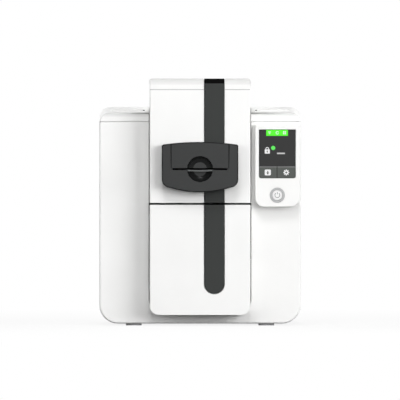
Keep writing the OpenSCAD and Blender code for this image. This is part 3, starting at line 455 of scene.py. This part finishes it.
zinc_sheet = metal("galvanised_sheet", "b9bdc0", "a3a8ab", 0.42, patch_mm=7)
ground_steel = metal("ground_steel", "c4c7c9", "aeb2b5", 0.28, patch_mm=1.2, stretch=(0.05, 1, 1))
bronze = metal("sintered_bronze", "a98a50", "957643", 0.55, patch_mm=0.9, bump=0.2)
brass = metal("machined_brass", "c9ab62", "b89a54", 0.3, patch_mm=1.5)
bright_plate = metal("tin_plated_steel", "c9cbcd", "babdbf", 0.25, patch_mm=3)
print("metals made")

# %% [markdown]
# Rubber drinks light: rough, nearly black, with a fine dry mottling. A circuit board's green is a
# lacquer over copper, and sockets are black nylon. The lens over the display is smooth and
# hard, and shows the dark grey of the unlit screen.

# %% Rubber, board, sockets and glass
rubber = plastic("black_nitrile_rubber", "202122", "1a1b1c", 0.82, grain_mm=1.0, strength=0.35)
foot_rubber = plastic("pale_foot_rubber", "efeff0", "e9e9ea", 0.8, grain_mm=1.5, strength=0.3,
                      gloss=0.1)
board_mask = plastic("green_solder_mask", "1e5a38", "194e30", 0.35, grain_mm=3, strength=0.1)
socket_black = plastic("black_nylon_socket", "141516", "101112", 0.4)
screen_glass = plastic("dark_screen_glass", "262626", "242424", 0.16, grain_mm=4, strength=0.01,
                       coat=0.2, gloss=0.3)
display_back = plastic("display_panel", "232425", "1f2021", 0.3)
tile_grey = plastic("screen_tile", "494d49", "484c48", 0.3, grain_mm=4, strength=0.01)
line_grey = plastic("screen_line", "6a6b6a", "686968", 0.3, grain_mm=4, strength=0.01)
symbol_grey = plastic("printed_symbol_grey", "767677", "727273", 0.5, grain_mm=2, strength=0.02)
print("rubber, board and glass made")

# %% [markdown]
# Ribbon film is thin polyester that carries colour panels, so along a wound roll the colour
# changes in bands. The bands follow Y: the position is divided by the length of one set of
# panels, its fraction picks the panel, and a ramp without blending gives the colour.

# %% Ribbon film
FILM_IOR = 1.57


def banded_film(name, colours, band_mm):
    """Polyester ribbon whose panels follow each other along Y, in bands band_mm long."""
    material, tree, output = new_material(name)
    place = add_node(tree, "ShaderNodeTexCoord")
    split = add_node(tree, "ShaderNodeSeparateXYZ", links={"Vector": place.outputs["Object"]})
    count = add_node(tree, "ShaderNodeMath", {"operation": "MULTIPLY"},
                     links={"Value": split.outputs["Y"]})
    count.inputs[1].default_value = 1 / (band_mm * MM * len(colours))
    part = add_node(tree, "ShaderNodeMath", {"operation": "FRACT"},
                    links={"Value": count.outputs[0]})
    ramp = two_tones(tree, part.outputs[0], colours[0], colours[1])
    panels = ramp.color_ramp
    panels.interpolation = "CONSTANT"
    panels.elements[1].position = 1 / len(colours)
    for i, colour in enumerate(colours[2:], start=2):
        panels.elements.new(i / len(colours)).color = linear(colour)
    links = {"Base Color": ramp.outputs["Color"],
             "Normal": grain_bump(tree, place, grain_mm=0.5, strength=0.05, depth_mm=0.02)}
    finish_surface(tree, output, links, Roughness=0.18, IOR=FILM_IOR, Coat_Weight=0.3)
    return material


ribbon_film = banded_film("dye_ribbon_film", ["b89a1e", "8e2350", "1f5f8a", "242326"], band_mm=14)
ribbon_used = banded_film("used_ribbon_film", ["332b47", "3d2a3e", "2a3146"], band_mm=9)
print("film made")

# %% [markdown]
# The lit parts of the screen give light of their own. Behind the glass that light comes from
# single pixels, so a very fine noise lets it waver by a few per cent.

# %% Lit parts of the screen
PIXEL_NOISE_MM = 0.6
DIMMEST = 0.94


def lit(name, colour, strength):
    """A part of the screen that gives light of its own: pixels behind glass."""
    material, tree, output = new_material(name)
    place = add_node(tree, "ShaderNodeTexCoord")
    ramp = two_tones(tree, object_noise(tree, place, PIXEL_NOISE_MM), colour, colour)
    ramp.color_ramp.elements[0].color = [c * DIMMEST for c in linear(colour)[:3]] + [1]
    finish_surface(tree, output, {"Emission Color": ramp.outputs["Color"]},
                   Base_Color=(0, 0, 0, 1), Roughness=0.3, Emission_Strength=strength)
    return material


lit_green = lit("lit_green", "50ff14", 1.0)
lit_dot = lit("lit_green_dot", "5cf25a", 0.95)
lit_white = lit("lit_white", "f4f4f4", 0.95)
lit_soft = lit("lit_soft_white", "d8d8d8", 0.8)
print(len(bpy.data.materials), "materials made")

# %% [markdown]
# ## Every working piece gets its finish
# The record names a material slot for each CAD node. One table says which finish stands for each
# slot, and every node takes its own from it. The pieces that are remade below replace their
# nodes, and the rest keep the exact CAD mesh.

# %% A finish for each slot
finish_of = {
    "white_abs": white_abs, "off_white_abs": off_white_abs, "grey_plate": plate_paint,
    "dark_grey_abs": dark_grey_abs, "black_abs": black_abs, "button_white": button_abs,
    "button_ring_silver": silver_paint, "rubber_black": rubber, "rubber_grey": foot_rubber,
    "zinc_sheet": zinc_sheet, "ground_steel": ground_steel, "pinch_rubber": rubber,
    "sintered_bronze": bronze, "brass_pinion": brass, "acetal_ivory": acetal,
    "motor_black": motor_paint, "display_black": display_back, "lens_black": screen_glass,
    "ribbon_colour": ribbon_film, "ribbon_used": ribbon_used, "board_green": board_mask,
    "socket_black": socket_black, "socket_metal": bright_plate,
}
slot_of = {part["node"]: part["material_slot"] for part in frame["record"]["subparts"]}
for node, piece in frame["nodes"].items():
    piece.data.materials.clear()
    piece.data.materials.append(finish_of[slot_of[node]])
print("dressed", len(slot_of), "nodes")

# %% [markdown]
# ## Rounded mouldings
# Moulded plastic never has a knife edge: the tool leaves 0.2 to 0.6 mm of round, which catches
# a thin line of light along every seam. The shape is the CAD's own, so the mesh is copied, its
# loose triangles are joined and flattened into faces, and only the sharp edges are bevelled.
# Weighted normals then keep the large flat faces flat, and let the small rounds turn smoothly.

# %% Rounding a CAD shape
SHARP_DEGREES = 32  # an edge that turns more than this is sharp, and is bevelled
CREASE_DEGREES = 45  # an edge that still turns more than this stays a crease in the shading
MERGE_MM = 0.005


def merged_copy(node):
    """A bmesh of a node with its loose triangles joined into whole faces."""
    bm = bmesh.new()
    bm.from_mesh(frame["nodes"][node].data)
    bmesh.ops.remove_doubles(bm, verts=bm.verts, dist=MERGE_MM * MM)
    bmesh.ops.dissolve_limit(bm, angle_limit=math.radians(1), verts=bm.verts, edges=bm.edges)
    return bm


def round_edges(bm, width_mm, chosen=lambda edge: True, segments=2, clamp=True):
    """Bevels the sharp edges that chosen accepts. Clamping keeps short edges from crossing."""
    sharp = [e for e in bm.edges if len(e.link_faces) == 2 and chosen(e)
             and e.calc_face_angle() > math.radians(SHARP_DEGREES)]
    bmesh.ops.bevel(bm, geom=sharp, offset=width_mm * MM, offset_type="OFFSET", affect="EDGES",
                    segments=segments, profile=0.5, material=-1, clamp_overlap=clamp,
                    loop_slide=True)
    bmesh.ops.dissolve_degenerate(bm, dist=0.001 * MM, edges=bm.edges)


def finish_mesh(name, bm, body, finishes, node=None):
    """Makes a smooth shaded piece of a bmesh, riding on body and standing for node."""
    mesh = bpy.data.meshes.new(name)
    for face in bm.faces:
        face.smooth = True
    bm.to_mesh(mesh)
    bm.free()
    mesh.set_sharp_from_angle(angle=math.radians(CREASE_DEGREES))
    piece = bpy.data.objects.new(name, mesh)
    for finish in finishes:
        mesh.materials.append(finish)
    bpy.context.scene.collection.objects.link(piece)
    normals = piece.modifiers.new("even_normals", "WEIGHTED_NORMAL")
    normals.keep_sharp = True
    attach(piece, body)
    if node:
        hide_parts(node)
    return piece


print("edges over", SHARP_DEGREES, "degrees are rounded")

# %% Mouldings with one finish and one width of round
mouldings = {
    "main_casing": 0.5, "rear_panel": 0.4, "rear_hump_cover": 0.5, "panel_housing": 0.5,
    "power_button_ring": 0.3, "power_button": 0.4, "reject_bin": 0.5, "touch_lens": 0.2,
}
for node, width_mm in mouldings.items():
    bm = merged_copy(node)
    round_edges(bm, width_mm)
    slot = slot_of[node]
    piece = finish_mesh(node + "_moulded", bm, body_of[node], [finish_of[slot]], node)
    print(piece.name, len(piece.data.polygons), "faces")

# %% [markdown]
# Below the brow of the cover runs a fine moulded line, 0.5 mm wide. Its edges get only a trace of a
# round, so that it stays crisp, and because little light reaches the bottom of such a line, its
# faces are painted grey as shade.
#
# The dark strip lies in a channel with 0.4 mm of gap on each side. Little light reaches the walls
# of the channel, in the cover and in the door, so they are painted near black as shade, like a deep
# hole.

# %% Places of the fine line and of the strip's channel
BROW_LINE_MM = 11.25  # from the top down to the middle of the line
CHANNEL_REACH = 0.9 * MM  # a point this close to the strip's sides is on its channel
CHANNEL_FRONT = 4 * MM  # how deep behind the front the rounded lower end of the channel goes
line_z = column["top"] - BROW_LINE_MM * MM
strip_box = {strip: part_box(strip) for strip in ("strip_upper", "strip_lower")}


def edge_height(edge):
    """Height of an edge's middle."""
    return (edge.verts[0].co.z + edge.verts[1].co.z) / 2


def off_the_line(edge):
    """True for an edge that doesn't belong to the fine line."""
    return abs(edge_height(edge) - line_z) > 0.5 * MM


def on_the_line(face):
    """True for a face inside the fine line."""
    middle = face.calc_center_median()
    return abs(middle.z - line_z) < 0.4 * MM and middle.y < front_y + 0.7 * MM


def by_strip(point, strip):
    """True for a point close to the long sides or the lower end of a strip node."""
    low, high = strip_box[strip]
    if not (low.x - CHANNEL_REACH < point.x < high.x + CHANNEL_REACH
            and point.z > low.z - CHANNEL_REACH):
        return False
    end_r = (high.x - low.x) / 2
    if strip == "strip_lower" and point.z < low.z + end_r:
        from_middle = math.hypot(point.x - low.x - end_r, point.z - low.z - end_r)
        return abs(from_middle - end_r) < CHANNEL_REACH
    return min(abs(point.x - low.x), abs(point.x - high.x)) < CHANNEL_REACH


def near_strip(edge, strip):
    """True for an edge of the strip's channel."""
    return all(by_strip(vert.co, strip) for vert in edge.verts)


def channel_wall(face, strip):
    """True for a side wall of the strip's channel, or for the wall round its lower end."""
    middle = face.calc_center_median()
    if not by_strip(middle, strip) or abs(face.normal.y) >= 0.7:
        return False
    return abs(face.normal.x) > 0.6 or strip == "strip_lower" and middle.y < front_y + CHANNEL_FRONT


print("fine line at", round(line_z / MM, 2), "mm")

# %% Cover shell and door
SEAM_ROUND = 0.6  # the widths of the rounds are in millimetres
CHANNEL_ROUND = 0.3
LINE_ROUND = 0.1
bm = merged_copy("cover_shell")
round_edges(bm, LINE_ROUND, lambda edge: not off_the_line(edge), 1)
round_edges(bm, CHANNEL_ROUND, lambda edge: near_strip(edge, "strip_upper"))
round_edges(bm, SEAM_ROUND, off_the_line)
# Painted shade: grey on the fine line and near black on the channel's walls.
for face in bm.faces:
    face.material_index = 1 if on_the_line(face) else 2 if channel_wall(face, "strip_upper") else 0
kinds = [face.material_index for face in bm.faces]
print("cover: line faces", kinds.count(1), "channel faces", kinds.count(2))
finish_mesh("cover_shell_moulded", bm, "top_cover",
            [lid_white_abs, line_painted_shade, hole_painted_shade], "cover_shell")
bm = merged_copy("door_shell")
round_edges(bm, CHANNEL_ROUND, lambda edge: near_strip(edge, "strip_lower"))
round_edges(bm, SEAM_ROUND, lambda edge: not near_strip(edge, "strip_lower"))
# Painted shade: near black on the channel's walls.
for face in bm.faces:
    face.material_index = 1 if channel_wall(face, "strip_lower") else 0
print("door: channel faces", sum(face.material_index for face in bm.faces))
finish_mesh("door_shell_moulded", bm, "front_door", [white_abs, hole_painted_shade],
            "door_shell")

# %% [markdown]
# The tops of the shoulders slope to the front. Each has a shallow tray across the slope with a sunk
# screw at its inner end. From the front the tray is a thin grey line and the screw's hole a dark
# spot, because little light reaches them, so their faces are painted greyer as shade.

# %% Where the sunk screws are
screw_points = [v.co for v in frame["nodes"]["casing_screws"].data.vertices
                if v.co.z > shoulder["lip"] - 20 * MM]
screw_x = sum(abs(point.x) for point in screw_points) / len(screw_points)
screw_y = sum(point.y for point in screw_points) / len(screw_points)
print("screws at x", round(screw_x / MM, 1), "y", round(screw_y / MM, 1), "mm")

# %% Top caps with tray and screw hole
CAP_ROUND = 0.5
HOLE_HALF_X = 2.6 * MM
HOLE_HALF_Y = 5.2 * MM
TRAY_HALF_Y = 6 * MM
TRAY_LEAST = 0.4 * MM  # the tray's floor lies between these two depths below the slope
TRAY_MOST = 1.6 * MM


def cap_finish(face, slope):
    """0 for the cap's skin, 1 for the tray's floor and 2 for the walls of the screw's hole; 1 and 2
    get painted shade.
    """
    middle = face.calc_center_median()
    from_screw = abs(middle.y - screw_y)
    if abs(abs(middle.x) - screw_x) < HOLE_HALF_X and from_screw < HOLE_HALF_Y \
            and abs(face.normal.z) < 0.5:
        return 2
    sunk = slope.normal.dot(slope.verts[0].co - middle)
    if face.normal.dot(slope.normal) > 0.995 and TRAY_LEAST < sunk < TRAY_MOST \
            and from_screw < TRAY_HALF_Y:
        return 1
    return 0


for node in ("left_top_cap", "right_top_cap"):
    bm = merged_copy(node)
    slope = max((face for face in bm.faces if 0.9 < face.normal.z < 0.999),
                key=lambda face: face.calc_area())
    kinds = [cap_finish(face, slope) for face in bm.faces]
    for face, kind in zip(bm.faces, kinds):
        face.material_index = kind
    round_edges(bm, CAP_ROUND)
    print(node, "tray faces", kinds.count(1), "hole faces", kinds.count(2))
    finish_mesh(node + "_moulded", bm, "base",
                [cap_white_abs, tray_painted_shade, hole_painted_shade], node)

# %% [markdown]
# ## The card slot's bezel and its thumb dish
# The bezel is one dark moulding with a flush insert above the slot. Its tool is satin all over but
# for the wall of the thumb dish, which is polished: the faces that lean towards the middle of the
# dish get that polished finish, and are painted near black as shade in the recess. The rim turns
# away from the light and the gap beside the insert holds none, so their faces get a nearly black
# painted shade. The rim is well rounded, and the other edges are rounded like those of the white
# mouldings.

# %% Faces and edges of the bezel
DISH_R = 13.3 * MM
DISH_DEPTH = 6 * MM
FRONT_SKIN = 0.3 * MM  # what lies less than this behind the bezel's front still is its front
LEAN = 0.97  # a face whose normal is closer to -Y than this is flat front or floor
RIM_OUT = 12 * MM  # the bezel's sides lie at least this far out from the slot's middle
SHADE_OUT = 17 * MM  # and their turned edge at least this far
GAP_REACH = 0.7 * MM  # a wall this close to the insert's sides belongs to the gap
insert_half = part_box("slot_insert")[1].x
slot_middle = Vector((0, bezel["y"], bezel["slot_z"]))


def in_dish(face):
    """True for a face of the dish's leaning wall."""
    middle = face.calc_center_median()
    behind = middle.y - bezel["y"]
    reach = math.hypot(middle.x, middle.z - bezel["slot_z"])
    return reach < DISH_R + FRONT_SKIN and FRONT_SKIN < behind < DISH_DEPTH \
        and abs(face.normal.y) < LEAN


def in_shade(face):
    """True for the rim's turned side and for the walls of the gap beside the insert, which get
    painted shade.
    """
    middle = face.calc_center_median()
    outward = Vector((middle.x, 0, middle.z - bezel["slot_z"]))
    on_side = abs(face.normal.y) < 0.985 and outward.length > SHADE_OUT \
        and face.normal.dot(outward) > 0
    in_gap = abs(abs(middle.x) - insert_half) < GAP_REACH and abs(face.normal.x) > 0.3
    return on_side or in_gap and abs(face.normal.y) < 0.99


def on_rim(edge):
    """True for an edge between the bezel's front and its outer side."""
    if not any(face.normal.y < -0.99 for face in edge.link_faces):
        return False
    return any(abs(face.normal.y) < 0.2
               and face.normal.dot(face.calc_center_median() - slot_middle) > RIM_OUT
               for face in edge.link_faces)


def beside_gap(edge):
    """True for the long front edges on both sides of the gap beside the insert."""
    one, two = (vert.co for vert in edge.verts)
    return abs(one.z - two.z) > 5 * MM and all(
        abs(abs(end.x) - insert_half) < 0.6 * MM and end.y < bezel["y"] + FRONT_SKIN
        for end in (one, two))


print("insert", round(2 * insert_half / MM, 1), "mm wide")

# %% Bezel, insert and dish wall
RIM_MM = 1.1
GAP_ROUND_MM = 0.35
INSERT_TOP = 16 * MM  # only the insert's upper edge, this far above the slot, is on the rim


def bezel_part(node, width_mm):
    """A bezel node with a well rounded rim, small rounds elsewhere, a polished dish wall, and
    painted shade on the dish wall, the rim and the gap.
    """
    bm = merged_copy(node)
    lowest = bezel["slot_z"] + INSERT_TOP if node == "slot_insert" else 0
    round_edges(bm, RIM_MM, lambda edge: on_rim(edge) and edge_height(edge) > lowest, 3,
                clamp=False)
    round_edges(bm, GAP_ROUND_MM, beside_gap, clamp=False)
    round_edges(bm, width_mm)
    for face in bm.faces:
        face.material_index = 1 if in_dish(face) else 2 if in_shade(face) else 0
    kinds = [face.material_index for face in bm.faces]
    finish_mesh(node + "_moulded", bm, body_of[node],
                [dark_grey_abs, dish_wall_painted_shade, rim_painted_shade], node)
    print(node, "has", kinds.count(1), "polished and", kinds.count(2), "shaded faces")


bezel_part("slot_bezel", 0.5)
bezel_part("slot_insert", 0.3)

# %% [markdown]
# Across the dish, just under the slot, runs a thin lip that carries the card's edge where the dish
# is cut away. It sags a little in the middle, and its lighter grey is a painted highlight for the
# light it catches. It is a grid of a few columns bent by a formula, and given its thickness by an
# extrusion.

# %% Card lip across the dish
LIP_LENGTH = 2 * 13.2 * MM
LIP_DEPTH = 3.4 * MM
LIP_T = 1.5 * MM
LIP_SAG = 0.5 * MM
LIP_BACK = 2.4 * MM  # from the bezel's front to the middle of the lip
LIP_DROP = 0.5 * MM  # from the slot's middle down to the lip's upper side


def thicken(bm, rise):
    """Gives the sheet in bm a thickness: a copy of it moves along Z by rise."""
    grown = bmesh.ops.extrude_face_region(bm, geom=bm.faces[:])
    moved = [item for item in grown["geom"] if isinstance(item, bmesh.types.BMVert)]
    bmesh.ops.translate(bm, verts=moved, vec=(0, 0, rise))
    bmesh.ops.recalc_face_normals(bm, faces=bm.faces)


bm = bmesh.new()
bmesh.ops.create_grid(bm, x_segments=24, y_segments=1, size=0.5)
bmesh.ops.scale(bm, verts=bm.verts, vec=(LIP_LENGTH, LIP_DEPTH, 1))
for vert in bm.verts:
    vert.co.z = -LIP_SAG * (1 - (2 * vert.co.x / LIP_LENGTH) ** 2)
thicken(bm, -LIP_T)
bmesh.ops.translate(bm, verts=bm.verts,
                    vec=(0, bezel["y"] + LIP_BACK, bezel["slot_z"] - LIP_DROP))
round_edges(bm, 0.2)
finish_mesh("card_lip", bm, "top_cover", [lip_painted_highlight])
print("lip", round(LIP_LENGTH / MM, 1), "mm long")

# %% [markdown]
# ## The dark strip
# The strip runs from the back of the cover over the brow and down to the door. Where it turns up
# over the brow, away from the light, its end is painted black as shade. Its sides face the
# channel's walls from less than half a millimetre away, so they get painted shade too.

# %% Strip over the brow
BROW_END = 6 * MM  # how far the painted black shade on the end reaches down from the top
BROW_BACK = 9 * MM  # and back from the front
STRIP_ROUND = 0.4


def strip_part(node):
    """A piece of the strip with painted black shade on its end at the brow and painted shade on its
    sides.
    """
    bm = merged_copy(node)
    round_edges(bm, STRIP_ROUND, clamp=False)
    for face in bm.faces:
        middle = face.calc_center_median()
        on_end = middle.z > column["top"] - BROW_END and middle.y < front_y + BROW_BACK
        face.material_index = 1 if on_end else 2 if abs(face.normal.x) > 0.2 else 0
    piece = finish_mesh(node + "_moulded", bm, body_of[node],
                        [strip_grey, strip_end_painted_shade, rim_painted_shade], node)
    print(piece.name, len(piece.data.polygons), "faces")


strip_part("strip_upper")
strip_part("strip_lower")

# %% [markdown]
# ## The display
# The unlit screen is dark grey glass. What it shows is drawn as thin plates that lie on it: a
# plate has sharp edges at any distance, where a picture would need an image. Places are
# measured from the glass's upper left corner, u to the right and v down, in millimetres.

# %% Flat plates on the glass
LAYER_MM = 0.06
screen_width = (lens["x1"] - lens["x0"]) / MM
screen_height = (lens["z1"] - lens["z0"]) / MM


def screen_place(u, v, layer):
    """The point u, v millimetres from the glass's corner. Layer 1 lies on the glass."""
    return Vector((lens["x0"] + u * MM, lens["y"] - (layer - 1) * LAYER_MM * MM,
                   lens["z1"] - v * MM))


def plate(name, bm, place, finish, body="base"):
    """Gives a flat drawing, in millimetres on XY, its thickness, and stands it up at place."""
    bmesh.ops.scale(bm, verts=bm.verts, vec=(MM, MM, MM))
    thicken(bm, LAYER_MM * MM)
    bm.transform(Matrix.Rotation(math.radians(90), 4, "X"))
    bmesh.ops.translate(bm, verts=bm.verts, vec=place)
    finish_mesh(name, bm, body, [finish])


print("screen", round(screen_width, 1), "by", round(screen_height, 1), "mm")

# %% Shapes to draw with, in millimetres on XY
def rounded_rect(bm, width, height, radius, cx=0.0, cy=0.0):
    """A filled rectangle with rounded corners, round cx, cy."""
    made = bmesh.ops.create_grid(bm, x_segments=1, y_segments=1, size=0.5)
    bmesh.ops.scale(bm, verts=made["verts"], vec=(width, height, 1))
    bmesh.ops.translate(bm, verts=made["verts"], vec=(cx, cy, 0))
    if radius:
        bmesh.ops.bevel(bm, geom=made["verts"], offset=radius, offset_type="OFFSET",
                        affect="VERTICES", segments=4, profile=0.5, material=-1)


def disc(bm, radius):
    """A filled disc round the middle."""
    bmesh.ops.create_circle(bm, cap_ends=True, segments=24, radius=radius)


def arc_band(bm, radius, width, start, sweep, cy=0.0):
    """A flat band along an arc from start, by sweep degrees: its short end is spun round."""
    a = math.radians(start)
    ends = [bm.verts.new((r * math.cos(a), cy + r * math.sin(a), 0))
            for r in (radius - width / 2, radius + width / 2)]
    edge = bm.edges.new(ends)
    bmesh.ops.spin(bm, geom=[*ends, edge], cent=(0, cy, 0), axis=(0, 0, 1), dvec=(0, 0, 0),
                   angle=math.radians(sweep), steps=24, use_merge=False)


print("drawing in layers of", LAYER_MM, "mm")

# %% [markdown]
# The top of the screen is a bright green band with three small signs in it, below it come a
# closed padlock, a green dot and a short plain bar, and the foot is two grey keys, one with an
# arrow down on a card and one with a gear. The signs are plain shapes that many machines share.

# %% The green band with its signs
BAND = {"u0": 7.3, "u1": 29.4, "v0": 0.3, "v1": 6.4}
SIGN_V = 3.3
bm = bmesh.new()
rounded_rect(bm, BAND["u1"] - BAND["u0"], BAND["v1"] - BAND["v0"], radius=0)
band_middle = screen_place((BAND["u0"] + BAND["u1"]) / 2, (BAND["v1"] + BAND["v0"]) / 2, 1)
plate("screen_band", bm, band_middle, lit_green)
bm = bmesh.new()
for step in range(3):
    rounded_rect(bm, 3.2 - 0.9 * step, 0.55, radius=0.2, cy=1.0 - step)
plate("sign_bars", bm, screen_place(10.7, SIGN_V, 2), lit_white)
bm = bmesh.new()
arc_band(bm, radius=1.3, width=0.6, start=20, sweep=320)
plate("sign_ring", bm, screen_place(18.6, SIGN_V, 2), lit_white)
bm = bmesh.new()
for cx in (-0.85, 0.85):
    for cy in (-0.85, 0.85):
        rounded_rect(bm, 1.3, 1.3, 0.25, cx, cy)
plate("sign_tiles", bm, screen_place(25.9, SIGN_V, 2), lit_white)
print("band drawn")

# %% Padlock, dot and bar
PADLOCK_U = 8.4
SHACKLE_R = 1.5
bm = bmesh.new()
rounded_rect(bm, 5.2, 4.3, radius=0.5)
arc_band(bm, SHACKLE_R, width=0.7, start=0, sweep=180, cy=2.6)
for cx in (-SHACKLE_R, SHACKLE_R):
    rounded_rect(bm, 0.7, 0.9, 0, cx, cy=2.3)
plate("padlock_sign", bm, screen_place(PADLOCK_U, 22.3, 1), lit_white)
bm = bmesh.new()
disc(bm, 0.65)
rounded_rect(bm, 0.5, 1.5, radius=0, cy=-0.7)
plate("padlock_keyhole", bm, screen_place(PADLOCK_U, 22.1, 2), screen_glass)
bm = bmesh.new()
disc(bm, 2.15)
plate("ready_dot", bm, screen_place(14.4, 18.7, 1), lit_dot)
bm = bmesh.new()
rounded_rect(bm, 8.2, 1.5, radius=0.6)
plate("state_bar", bm, screen_place(22.3, 24.2, 1), lit_soft)
print("signs drawn")

# %% The two keys at the foot of the screen
KEY_TOP = 37.4
KEY_LINE = 1.2  # the lighter line along a key's top edge
KEY_BODY_TOP = 1.3  # the key's body begins this far below its top
KEY_SPLIT = 18.3  # the middle of the gap between the keys
HALF_GAP = 0.35
SCREEN_EDGE = 0.3
key_low = screen_height - 0.4
keys = (("left_key", SCREEN_EDGE, KEY_SPLIT - HALF_GAP),
        ("right_key", KEY_SPLIT + HALF_GAP, screen_width - SCREEN_EDGE))
for name, u0, u1 in keys:
    bm = bmesh.new()
    rounded_rect(bm, u1 - u0, key_low - KEY_TOP - KEY_BODY_TOP, radius=0.5)
    key_middle = screen_place((u0 + u1) / 2, (KEY_TOP + KEY_BODY_TOP + key_low) / 2, 1)
    plate(name, bm, key_middle, tile_grey)
    bm = bmesh.new()
    rounded_rect(bm, u1 - u0, KEY_LINE, radius=0)
    line_middle = screen_place((u0 + u1) / 2, KEY_TOP + KEY_LINE / 2, 1)
    plate(name + "_line", bm, line_middle, line_grey)
print("keys drawn")

# %% The signs on the keys
KEY_SIGN_V = 43.6
CARD_U = 8.9
GEAR_U = 27.7
TEETH = 8
bm = bmesh.new()
rounded_rect(bm, 6.3, 6.0, radius=1.1)
plate("card_key_sign", bm, screen_place(CARD_U, KEY_SIGN_V, 2), lit_white)
bm = bmesh.new()
rounded_rect(bm, 0.9, 2.0, radius=0, cy=0.6)
head = bmesh.ops.create_circle(bm, cap_ends=True, segments=3, radius=1.5)["verts"]
bmesh.ops.rotate(bm, verts=head, cent=(0, 0, 0), matrix=Matrix.Rotation(math.pi, 3, "Z"))
bmesh.ops.translate(bm, verts=head, vec=(0, -0.8, 0))
plate("arrow_sign", bm, screen_place(CARD_U, KEY_SIGN_V, 3), tile_grey)
bm = bmesh.new()
disc(bm, 2.1)
for i in range(TEETH):
    tooth = bmesh.ops.create_grid(bm, x_segments=1, y_segments=1, size=0.5)["verts"]
    bmesh.ops.scale(bm, verts=tooth, vec=(1.1, 1.4, 1))
    bmesh.ops.translate(bm, verts=tooth, vec=(0, 2.3, 0))
    bmesh.ops.rotate(bm, verts=tooth, cent=(0, 0, 0),
                     matrix=Matrix.Rotation(math.radians(360 / TEETH * i), 3, "Z"))
plate("gear_sign", bm, screen_place(GEAR_U, KEY_SIGN_V, 2), lit_white)
bm = bmesh.new()
disc(bm, 0.95)
plate("gear_hole", bm, screen_place(GEAR_U, KEY_SIGN_V, 3), tile_grey)
print("key signs drawn")

# %% [markdown]
# The power button carries the usual sign of a ring that is open at the top with a bar in the
# gap. It is printed on the button, so it moves with it, and it stays inside the button's own
# front, which stands a little proud of the ring.

# %% Power sign on the button
SIGN_R = 2.5
SIGN_LINE = 0.6
SIGN_GAP = 70  # degrees, open at the top
bm = bmesh.new()
arc_band(bm, SIGN_R, SIGN_LINE, start=90 + SIGN_GAP / 2, sweep=360 - SIGN_GAP)
rounded_rect(bm, SIGN_LINE, 2.3, radius=0.2, cy=2.0)
plate("power_sign", bm, Vector((button["x"], button["y"], button["z"])), symbol_grey,
      body="power_key")
print("power sign radius", SIGN_R, "mm")
